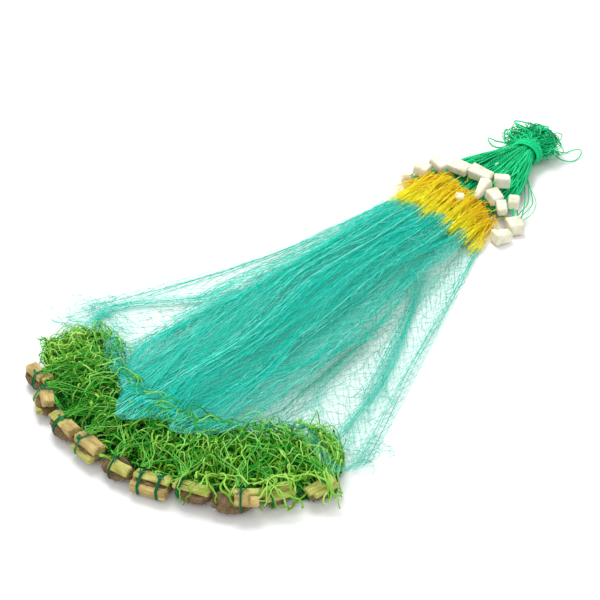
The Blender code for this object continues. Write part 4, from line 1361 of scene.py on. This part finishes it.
@dataclass
class Fringe:
    """Curly thread ends from the foot of the netting to the sinkers."""

    layout: Layout
    start: float = math.radians(-138)
    end: float = math.radians(-23)
    inner: float = 0.148
    crown: float = 0.0275
    sinkers: int = 10
    ties_each: int = 13
    bed: Curls = Curls(425, 16, (0.05, 0.09), 0.8, (0.001, 0.012), (0.142, 0.208))
    main: Curls = Curls(815, 24, (0.04, 0.09), 0.85, (0.008, 0.0285), (0.142, 0.216))
    strips: Curls = Curls(230, 16, (0.022, 0.055), 0.5, (0.014, 0.0285), (0.155, 0.214))
    spilled: tuple[Curls, ...] = (
        Curls(96, 20, (0.030, 0.070), 0.85, (0.018, 0.0295), (0.165, 0.226), (-92, -24), 0.238),
        Curls(70, 20, (0.030, 0.070), 0.85, (0.018, 0.0295), (0.185, 0.234), (-64, -26), 0.250,
              0.029),
        Curls(44, 20, (0.030, 0.070), 0.85, (0.018, 0.0295), (0.165, 0.220), (-139, -120),
              0.226))
    raised: tuple[Curls, ...] = (
        Curls(84, 18, (0.028, 0.060), 0.85, (0.016, 0.026), (0.146, 0.180), (-124, -62)),
        Curls(46, 18, (0.028, 0.060), 0.85, (0.016, 0.026), (0.146, 0.180), (-66, -32)))

    def laid(self, rng: np.random.Generator, lot: Curls) -> np.ndarray:
        """A lot's wandering threads round the arc, as threads by points by three."""
        count, outer = lot.count, lot.outer
        t = np.linspace(0, 1, lot.points)[None, :]
        at = np.radians(rng.uniform(*lot.span, count))
        root = rng.uniform(*lot.base, count)
        start = np.stack([root * np.cos(at), root * np.sin(at)], axis=-1)
        x, y = wander(rng, start, at + rng.normal(0, 0.8, count),
                      rng.uniform(*lot.length, count), lot.curl, lot.points)
        radius, angle = np.hypot(x, y), np.arctan2(y, x)
        rim = outer + 0.008 * ease((angle + math.radians(52)) / 0.2)
        radius = np.where(radius > rim, rim + 0.22 * (radius - rim), radius)
        inner = self.inner + rng.uniform(-0.010, 0.016, (count, 1))
        radius = np.where(radius < inner, inner - 0.3 * (inner - radius), radius)
        taper = 0.13 * ease((radius - 0.196) / 0.040) - 0.05 * ease((0.180 - radius) / 0.03)
        slack = rng.exponential(0.030, (count, 1)) - 0.03
        past_end = np.maximum(angle - (self.end - slack - taper), 0.0)
        past_start = np.maximum(self.start + slack + 0.6 * taper - angle, 0.0)
        angle = angle - 0.85 * past_end + 0.85 * past_start
        rise = rng.uniform(*lot.height, (count, 1))
        z = rise * (0.35 + 0.65 * np.sin(math.pi * np.clip(t * 1.15, 0, 1)))
        z = z + 0.0030 * np.sin(TAU * 2.2 * t + rng.uniform(0, TAU, (count, 1)))
        slope = 1.0 - 0.40 * ease((radius - 0.198) / 0.035)
        z = np.clip(z * slope, 0.0010, self.crown)
        if not lot.spill:
            past = ease((radius - outer + 0.002) / 0.008)
            z = np.maximum(z, 0.0195 * past * (rim < outer + 0.002))
        ride = ease((radius - 0.218) / 0.014) * (1 - 0.75 * ease((radius - 0.246) / 0.020))
        z = np.maximum(z, lot.spill * rng.uniform(0.8, 1.05, (count, 1)) * ride)
        return self.layout.on_arc(radius, angle, z)

    def tone(self, rng: np.random.Generator, paths: np.ndarray, middle: float) -> np.ndarray:
        """Tones that run from painted shade low in the fringe to painted light at its top, paler
        towards its two ends, and limes here and there.
        """
        height = paths[..., 2] / self.crown
        lime = 0.40 * (rng.random((len(paths), 1)) < 0.24)
        from_arc = paths - self.layout.shift
        angle = np.arctan2(from_arc[..., 1] - self.layout.arc[1],
                           from_arc[..., 0] - self.layout.arc[0])
        tips = ease((angle - self.end + 0.36) / 0.30) + ease((self.start + 0.50 - angle) / 0.45)
        # Lower threads are darker as painted shade and higher ones paler as painted light.
        return (middle - 0.36 + (0.62 - 0.30 * tips) * height + 0.42 * tips + lime
                + rng.normal(0, 0.11, (len(paths), 1)))

    def ties(self) -> np.ndarray:
        """Threads that gather from the fringe to each sinker's lashing."""
        rng = np.random.default_rng(74)
        paths = []
        t = np.linspace(0, 1, 20)[None, :]
        count = self.ties_each
        for number in range(1, self.sinkers + 1):
            low, high = (np.array(corner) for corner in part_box(f"sinker_{number:02d}_lashing"))
            middle = (low + high) / 2 - self.layout.shift
            angle = math.atan2(middle[1] - self.layout.arc[1], middle[0] - self.layout.arc[0])
            far = math.hypot(middle[1] - self.layout.arc[1], middle[0] - self.layout.arc[0])
            start = angle + rng.normal(0, 0.11, (count, 1))
            swing = start + (angle - start) * ease(t) + 0.02 * np.sin(
                7 * t + rng.uniform(0, TAU, (count, 1)))
            near = rng.uniform(0.165, 0.200, (count, 1))
            radius = near + (far - 0.004 - near) * t
            z = (rng.uniform(0.012, 0.024, (count, 1)) * (1 - t) + (high[2] - 0.0006) * t
                 + 0.003 * np.sin(math.pi * t))
            paths.append(self.layout.on_arc(radius, swing, z))
        return np.concatenate(paths)

    def noodles(self) -> Threads:
        """Thick pale ends that spill over the fringe's two ends."""
        rng = np.random.default_rng(76)
        threads = Threads(4)
        for lot in self.spilled:
            paths = self.laid(rng, lot)
            threads.add(paths, rng.uniform(0.0006, 0.00115, (lot.count, 1)),
                        self.tone(rng, paths, 0.50 - 5.0 * lot.spill))
        return threads

    def overlay(self) -> Threads:
        """Curls that stand up through the foot of the netting and fall over its edge."""
        rng = np.random.default_rng(77)
        threads = Threads()
        for lot in self.raised:
            t = np.linspace(0, 1, lot.points)[None, :]
            paths = self.laid(rng, lot)
            arch = 0.022 + rng.uniform(0.007, 0.0145, (lot.count, 1)) * np.sin(math.pi * t)
            tone = self.tone(rng, paths, 0.52)
            paths[..., 2] = np.maximum(paths[..., 2], arch)
            threads.add(paths, rng.uniform(0.00042, 0.00085, (lot.count, 1)), tone)
        return threads

    def build(self) -> None:
        """Make the fringe in its deep bed of painted-shade threads, its bright curls and its
        flat strips.
        """
        rng = np.random.default_rng(72)
        # The bed's near-black threads are painted shade, standing in for the shade deep in the
        # fringe.
        bed = Threads()
        paths = self.laid(rng, self.bed)
        bed.add(paths, 0.00066, rng.normal(0.35, 0.16, len(paths)))
        under = bed.build("fringe_bed", FRINGE_SHADE, "green_fringe")
        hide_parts("foot_fringe")
        curls = Threads()
        paths = self.laid(rng, self.main)
        size = rng.uniform(0.00036, 0.00078, (len(paths), 1))
        curls.add(paths, size, self.tone(rng, paths, 0.45))
        ties = self.ties()
        curls.add(ties, 0.00048, rng.normal(0.62, 0.16, len(ties)))
        curls.build("fringe_curls", FRINGE_THREAD, "green_fringe")
        self.noodles().build("fringe_noodles", LIME_STRIP, "green_fringe")
        self.overlay().build("fringe_overlay", FRINGE_THREAD, "green_fringe")
        strips = Threads(4)
        paths = self.laid(rng, self.strips)
        strips.add(paths, rng.uniform(0.0008, 0.0019, (len(paths), 1)),
                   rng.normal(0.62, 0.24, len(paths)), flat=0.18, twist=1.2)
        strips.build("fringe_strips", LIME_STRIP, "green_fringe")


# ---------------------------------------------------------------- floats and sinkers


def merged_copy(node: str) -> bmesh.types.BMesh:
    """The node's solid as one closed shell of flat faces."""
    bm = bmesh.new()
    bm.from_mesh(bpy.data.objects[node].data)
    bmesh.ops.remove_doubles(bm, verts=bm.verts, dist=1e-6)
    bmesh.ops.dissolve_limit(bm, angle_limit=math.radians(2), verts=bm.verts, edges=bm.edges)
    return bm


def refine(bm: bmesh.types.BMesh, longest: float, passes: int = 5) -> None:
    """Cut a shell's edges until none is longer than that."""
    bmesh.ops.triangulate(bm, faces=bm.faces)
    for _ in range(passes):
        long = [edge for edge in bm.edges if edge.calc_length() > longest]
        if not long:
            break
        bmesh.ops.subdivide_edges(bm, edges=long, cuts=1, use_grid_fill=True)
        bmesh.ops.triangulate(bm, faces=bm.faces)


def roughen(bm: bmesh.types.BMesh, scale: float, amount: float, seed: float) -> None:
    """Move a shell's points in and out by smooth noise."""
    bm.normal_update()
    offset = Vector((seed, 2.7 * seed, -1.3 * seed))
    moved = [(vert, vert.normal.copy()) for vert in bm.verts]
    for vert, normal in moved:
        vert.co += normal * amount * noise.fractal(vert.co * scale + offset, 0.8, 2.0, 3)


def shell_piece(bm: bmesh.types.BMesh, name: str) -> bpy.types.Object:
    """Turn a shell into a smooth piece."""
    bmesh.ops.recalc_face_normals(bm, faces=bm.faces)
    mesh = bpy.data.meshes.new(name)
    bm.to_mesh(mesh)
    bm.free()
    mesh.shade_smooth()
    return bpy.data.objects.new(name, mesh)


@dataclass
class Floats:
    """Foam blocks, cut by hand: soft edges and faces that aren't quite flat."""

    count: int = 13
    edge: float = 0.00044
    swell: float = 1.1
    longest: float = 0.0028
    rough_scale: float = 150.0
    rough: float = 0.0005
    rest: float = 0.0001  # the lowest any of them goes

    def build(self) -> None:
        """Make each float on its solid."""
        material = FoamFinish().material()
        for number in range(1, self.count + 1):
            node = f"float_{number:02d}"
            bm = merged_copy(node)
            bmesh.ops.bevel(bm, geom=bm.edges[:], offset=self.edge, segments=2,
                            affect="EDGES", profile=0.5, material=-1)
            refine(bm, self.longest, 4)
            middle = sum((vert.co for vert in bm.verts), Vector()) / len(bm.verts)
            for vert in bm.verts:
                vert.co = middle + (vert.co - middle) * self.swell
            roughen(bm, self.rough_scale, self.rough, number * 3.1)
            for vert in bm.verts:
                vert.co.z = max(vert.co.z, self.rest)
            block = shell_piece(bm, f"block_{number:02d}")
            block.data.set_sharp_from_angle(angle=math.radians(60))
            finish_piece(block, material, "ivory_foam")
            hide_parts(node)


@dataclass(frozen=True)
class Sliver:
    """A second piece tied beside a sinker's strip, placed along, across and up from it."""

    sinker: int
    grain: Grain
    along: float
    across: float
    up: float
    size: tuple[float, float, float]


@dataclass
class Sinkers:
    """Clay lumps with split reed or wood tied on them."""

    layout: Layout
    strips: tuple[Grain, ...] = (Grain.WOOD, Grain.WOOD, Grain.REED, Grain.WOOD, Grain.REED,
                                 Grain.REED, Grain.REED, Grain.WOOD, Grain.REED, Grain.REED)
    turns: tuple[int, ...] = (3, 2, 4, 2, 2, 3, 4, 2, 2, 2)
    slivers: tuple[Sliver, ...] = (
        Sliver(1, Grain.REED, 0.010, -0.003, -0.0015, (0.016, 0.012, 0.007)),
        Sliver(2, Grain.REED, -0.001, 0.009, -0.0070, (0.030, 0.009, 0.005)),
        Sliver(3, Grain.WOOD, 0.0125, 0.002, 0.0020, (0.015, 0.013, 0.009)),
        Sliver(4, Grain.REED, 0.000, 0.010, -0.0075, (0.030, 0.009, 0.006)),
        Sliver(6, Grain.WOOD, -0.001, 0.0095, -0.0075, (0.038, 0.011, 0.011)),
        Sliver(8, Grain.WOOD, 0.0150, 0.001, -0.0020, (0.022, 0.010, 0.006)),
        Sliver(8, Grain.REED, 0.0130, -0.008, 0.0010, (0.026, 0.008, 0.005)),
        Sliver(9, Grain.REED, 0.003, 0.008, -0.0015, (0.030, 0.008, 0.005)),
        Sliver(10, Grain.REED, 0.002, 0.007, -0.0010, (0.028, 0.007, 0.005)))
    twine: float = 0.00055
    turn_pitch: float = 0.00108
    second: dict[int, tuple[float, ...]] = field(default_factory=lambda: {
        6: (0.020,)})  # how far along a sinker its other lashing lies
    trims: dict[int, tuple[float, float]] = field(default_factory=lambda: {
        5: (0.70, 0.0060), 8: (0.55, 0.0095)})  # a strip's shortening and shift
    ends: int = 5  # loose twine ends at each knot
    end_points: int = 16
    lump_edge: float = 0.0017
    strip_edge: float = 0.0026
    strip_bevel: float = 0.0008
    fibre_scale: tuple[float, float] = (22.0, 420.0)  # along a strip, and across it
    fibre_depth: float = 0.0004
    splinter: float = 0.0014

    def lump(self, number: int, material: bpy.types.Material) -> bpy.types.Object:
        """One rough lump of clay."""
        node = f"sinker_{number:02d}_lump"
        bm = merged_copy(node)
        refine(bm, self.lump_edge, 6)
        bmesh.ops.smooth_vert(bm, verts=bm.verts, factor=0.5, use_axis_x=True,
                              use_axis_y=True, use_axis_z=True)
        roughen(bm, 130.0, 0.0015, number * 1.7)
        roughen(bm, 520.0, 0.0009, number * 4.3)
        piece = shell_piece(bm, f"clay_{number:02d}")
        finish_piece(piece, material, "brown_clay")
        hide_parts(node)
        return piece

    def axes(self, bm: bmesh.types.BMesh) -> tuple[Vector, Vector, Vector, Vector]:
        """A strip's middle, and its directions along the arc, out from it, and up."""
        points = np.array([vert.co[:] for vert in bm.verts])
        centre = (points.max(0) + points.min(0)) / 2
        long = Vector(np.linalg.svd(points - points.mean(0), full_matrices=False)[2][0])
        radial = Vector(centre - self.layout.shift)
        radial = Vector((radial.x - self.layout.arc[0], radial.y - self.layout.arc[1], 0.0))
        tangent = Vector((-radial.y, radial.x, 0.0))
        if long.dot(tangent) < 0:
            long.negate()
        cross = (radial - long * radial.dot(long)).normalized()
        return Vector(centre), long, cross, long.cross(-cross).normalized()

    def grained(self, bm: bmesh.types.BMesh, name: str, grain: Grain, seed: float,
                material: bpy.types.Material) -> bpy.types.Object:
        """Roughen a strip along its fibres, splinter its ends and map its grain.

        Args:
            bm: the strip's plain shell.
            name: the new piece's name.
            grain: what it is split from.
            seed: where its roughness is drawn from.
            material: its finish.

        Returns:
            The dressed piece.
        """
        centre, long, cross, up = self.axes(bm)
        bmesh.ops.bevel(bm, geom=bm.edges[:], offset=self.strip_bevel, segments=1,
                        affect="EDGES", profile=0.5, material=-1)
        refine(bm, self.strip_edge)
        bm.normal_update()
        moved = [(vert, vert.normal.copy(), vert.co - centre) for vert in bm.verts]
        for vert, normal, out in moved:
            line = Vector((out.dot(long) * self.fibre_scale[0],
                           (out.dot(cross) + out.dot(up)) * self.fibre_scale[1], seed))
            vert.co += normal * self.fibre_depth * noise.noise(line)
            vert.co += normal * 0.0003 * noise.noise(out * 90.0 + Vector((seed, 0, 0)))
            if abs(normal.dot(long)) > 0.6:
                vert.co += long * self.splinter * noise.noise(line * 1.7)
        layer = bm.loops.layers.uv.new("fibre")
        for face in bm.faces:
            for loop in face.loops:
                out = loop.vert.co - centre
                loop[layer].uv = (out.dot(long) + seed * 0.05,
                                  out.dot(cross) + 0.6 * out.dot(up))
        piece = shell_piece(bm, name)
        piece.data.set_sharp_from_angle(angle=math.radians(40))
        finish_piece(piece, material, f"split_{grain.value}")
        return piece

    def tied(self, number: int, grain: Grain,
             finishes: dict[Grain, bpy.types.Material]) -> list[bpy.types.Object]:
        """A sinker's strip and the slivers beside it."""
        node = f"sinker_{number:02d}_{grain.value}"
        bm = merged_copy(node)
        centre, long, cross, up = self.axes(bm)
        shrink, slide = self.trims.get(number, (1.0, 0.0))
        for vert in bm.verts:
            vert.co += long * ((vert.co - centre).dot(long) * (shrink - 1.0) + slide)
        strip = self.grained(bm, f"strip_{number:02d}", grain, number * 7.0, finishes[grain])
        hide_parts(node)
        pieces = [strip]
        for order, sliver in enumerate(s for s in self.slivers if s.sinker == number):
            bm = bmesh.new()
            bmesh.ops.create_cube(bm, size=1.0)
            basis = Matrix((long, cross, up)).transposed().to_4x4()
            spot = centre + long * sliver.along + cross * sliver.across + up * sliver.up
            bmesh.ops.transform(bm, verts=bm.verts, matrix=Matrix.Translation(spot) @ basis
                                @ Matrix.Diagonal((*sliver.size, 1.0)))
            pieces.append(self.grained(bm, f"sliver_{number:02d}_{order + 1}", sliver.grain,
                                       number * 3.0 + order + 0.5, finishes[sliver.grain]))
        return pieces

    def taut(self, spots: np.ndarray, middle: np.ndarray, normal: np.ndarray, gap: float,
             points: int = 44) -> np.ndarray:
        """The route of twine drawn tight round solid points.

        Args:
            spots: points of what it goes round.
            middle: a point of the plane that it lies in.
            normal: that plane's normal.
            gap: the twine's distance from what it goes round.
            points: how many points the route has.

        Returns:
            The closed route, its last point on its first.
        """
        first = unit(np.cross(normal, (0.0, 0.0, 1.0)))
        second = np.cross(first, normal)
        reach = np.abs((spots - middle) @ normal)
        near = spots[reach < max(0.0016, np.sort(reach)[12])] - middle
        flat = np.stack([near @ first, near @ second], axis=-1)
        angle = np.linspace(0, TAU, 180, endpoint=False)
        ways = np.stack([np.cos(angle), np.sin(angle)])
        line = flat[(flat @ ways).argmax(0)] + gap * ways.T
        line = np.concatenate([line, line[:1]])
        run = run_along(line)
        line = read_along(np.linspace(0, run[-1], points), run, line)
        route = middle + line[:, :1] * first + line[:, 1:] * second
        route[:, 2] = np.maximum(route[:, 2], gap)
        return route

    def lashing(self, number: int, pieces: list[bpy.types.Object]) -> None:
        """Turns of twine drawn tight round a sinker, with a knot and short ends."""
        node = f"sinker_{number:02d}_lashing"
        ring = np.array([vert.co[:] for vert in bpy.data.objects[node].data.vertices])
        middle = ring.mean(0)
        normal = np.linalg.svd(ring - middle, full_matrices=False)[2][2]
        spots = np.concatenate([[vert.co[:] for vert in piece.data.vertices]
                                for piece in pieces])
        rng = np.random.default_rng(80 + number)
        threads = Threads(6)
        side = np.sign((spots.mean(0) - middle) @ normal) or 1.0
        turns = self.turns[number - 1]
        for place in (0.0, *self.second.get(number, ())):
            centre = middle + normal * side * place
            for turn in range(turns):
                aside = (turn - (turns - 1) / 2) * self.turn_pitch
                route = self.taut(spots, centre + normal * aside, normal, self.twine)
                threads.add(route[None], self.twine, rng.uniform(0.2, 0.8, 1))
            top = route[route[:, 2].argmax()]
            t = np.linspace(0, 1, self.end_points)[None, :]
            x, y = wander(rng, np.repeat(top[None, :2], self.ends, 0),
                          rng.uniform(0, TAU, self.ends), rng.uniform(0.004, 0.011, self.ends),
                          1.6, self.end_points)
            z = top[2] + 0.0004 + 0.0016 * np.sin(math.pi * t)
            threads.add(np.stack(np.broadcast_arrays(x, y, z), axis=-1), self.twine,
                        rng.uniform(0.3, 0.9, self.ends))
        piece = threads.build(f"twine_{number:02d}", DARK_TWINE, "sinker_twine")
        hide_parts(node)

    def build(self) -> None:
        """Make the sinkers."""
        clay = ClayFinish().material()
        finishes = {Grain.REED: REED.material(), Grain.WOOD: WOOD.material()}
        for number, grain in enumerate(self.strips, start=1):
            lump = self.lump(number, clay)
            self.lashing(number, [lump, *self.tied(number, grain, finishes)])


@dataclass
class FootLine:
    """The laid cord that the sinkers are tied to."""

    layout: Layout
    radius: float = 0.2247
    start: float = math.radians(-131)
    end: float = math.radians(-27)
    points: int = 120
    lines: tuple[tuple[float, float], ...] = ((0.0, 0.00095), (1.1, 0.0007))  # phase, size
    stray: float = 0.0014
    low: float = 0.0016
    rise: float = 0.0035
    spans: int = 9  # between the sinkers

    def build(self) -> None:
        """Make two lines side by side, sagging from sinker to sinker."""
        t = np.linspace(0, 1, self.points)
        threads = Threads(6)
        for phase, size in self.lines:
            angle = self.start + (self.end - self.start) * t
            radius = self.radius + self.stray * np.sin(31 * t + phase)
            z = self.low + self.rise * np.sin(math.pi * self.spans * t + phase) ** 2
            threads.add(self.layout.on_arc(radius, angle, z)[None], size, np.array([0.4]))
        line = threads.build("foot_cord", DARK_TWINE, "foot_line_twine")
        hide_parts("foot_line")


# ---------------------------------------------------------------- studio


@dataclass(frozen=True)
class Lamp:
    """A soft square lamp that faces the net."""

    name: str
    place: tuple[float, float, float]
    size: float
    power: float

    def hang(self) -> None:
        """Place the lamp."""
        data = bpy.data.lights.new(self.name, "AREA")
        data.size = self.size
        data.energy = self.power
        lamp = bpy.data.objects.new(self.name, data)
        bpy.context.scene.collection.objects.link(lamp)
        lamp.location = self.place
        lamp.rotation_euler = (-Vector(self.place)).to_track_quat("-Z", "Y").to_euler()


@dataclass
class Studio:
    """A white floor, soft light from above, and the camera."""

    azimuth: float = math.radians(42)
    elevation: float = math.radians(38)
    distance: float = 1.5
    view_angle: float = math.radians(26)
    aim: tuple[float, float, float] = (-0.0284, -0.0744, 0.0)
    daylight: float = 0.84
    floor_half: float = 12.0
    lamps: tuple[Lamp, ...] = (Lamp("key", (-1.1, 0.5, 2.1), 1.1, 40.0),
                               Lamp("fill", (1.3, -1.5, 1.7), 2.0, 6.0))

    def camera(self) -> None:
        """Place the camera."""
        data = bpy.data.cameras.new("camera")
        data.sensor_width = 36.0
        data.angle = self.view_angle
        data.clip_end = 50.0
        camera = bpy.data.objects.new("camera", data)
        bpy.context.scene.collection.objects.link(camera)
        look = Vector((-math.sin(self.azimuth) * math.cos(self.elevation),
                       math.cos(self.azimuth) * math.cos(self.elevation),
                       -math.sin(self.elevation)))
        camera.location = Vector(self.aim) - look * self.distance
        camera.rotation_euler = look.to_track_quat("-Z", "Y").to_euler()
        bpy.context.scene.camera = camera

    def build(self) -> None:
        """Set up the studio."""
        scene = bpy.context.scene
        scene.view_settings.view_transform = "Standard"
        scene.cycles.transparent_max_bounces = TRANSPARENT_BOUNCES
        world = bpy.data.worlds.new("white")
        world.use_nodes = True
        background = world.node_tree.nodes["Background"]
        background.inputs["Color"].default_value = (1, 1, 1, 1)
        background.inputs["Strength"].default_value = self.daylight
        scene.world = world
        bm = bmesh.new()
        bmesh.ops.create_grid(bm, x_segments=1, y_segments=1, size=self.floor_half)
        mesh = bpy.data.meshes.new("floor")
        bm.to_mesh(mesh)
        bm.free()
        floor = bpy.data.objects.new("floor", mesh)
        mesh.materials.append(FloorFinish().material())
        scene.collection.objects.link(floor)
        for lamp in self.lamps:
            lamp.hang()
        self.camera()


def main() -> None:
    """Build the net in its studio."""
    logging.basicConfig(level=logging.INFO, format="%(message)s")
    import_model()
    layout = Layout()
    Studio().build()
    Netting(layout).build()
    Selvage(layout).build()
    HeadRope(layout).build()
    Fringe(layout).build()
    Floats().build()
    Sinkers(layout).build()
    FootLine(layout).build()
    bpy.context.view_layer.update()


if __name__ == "__main__":
    main()
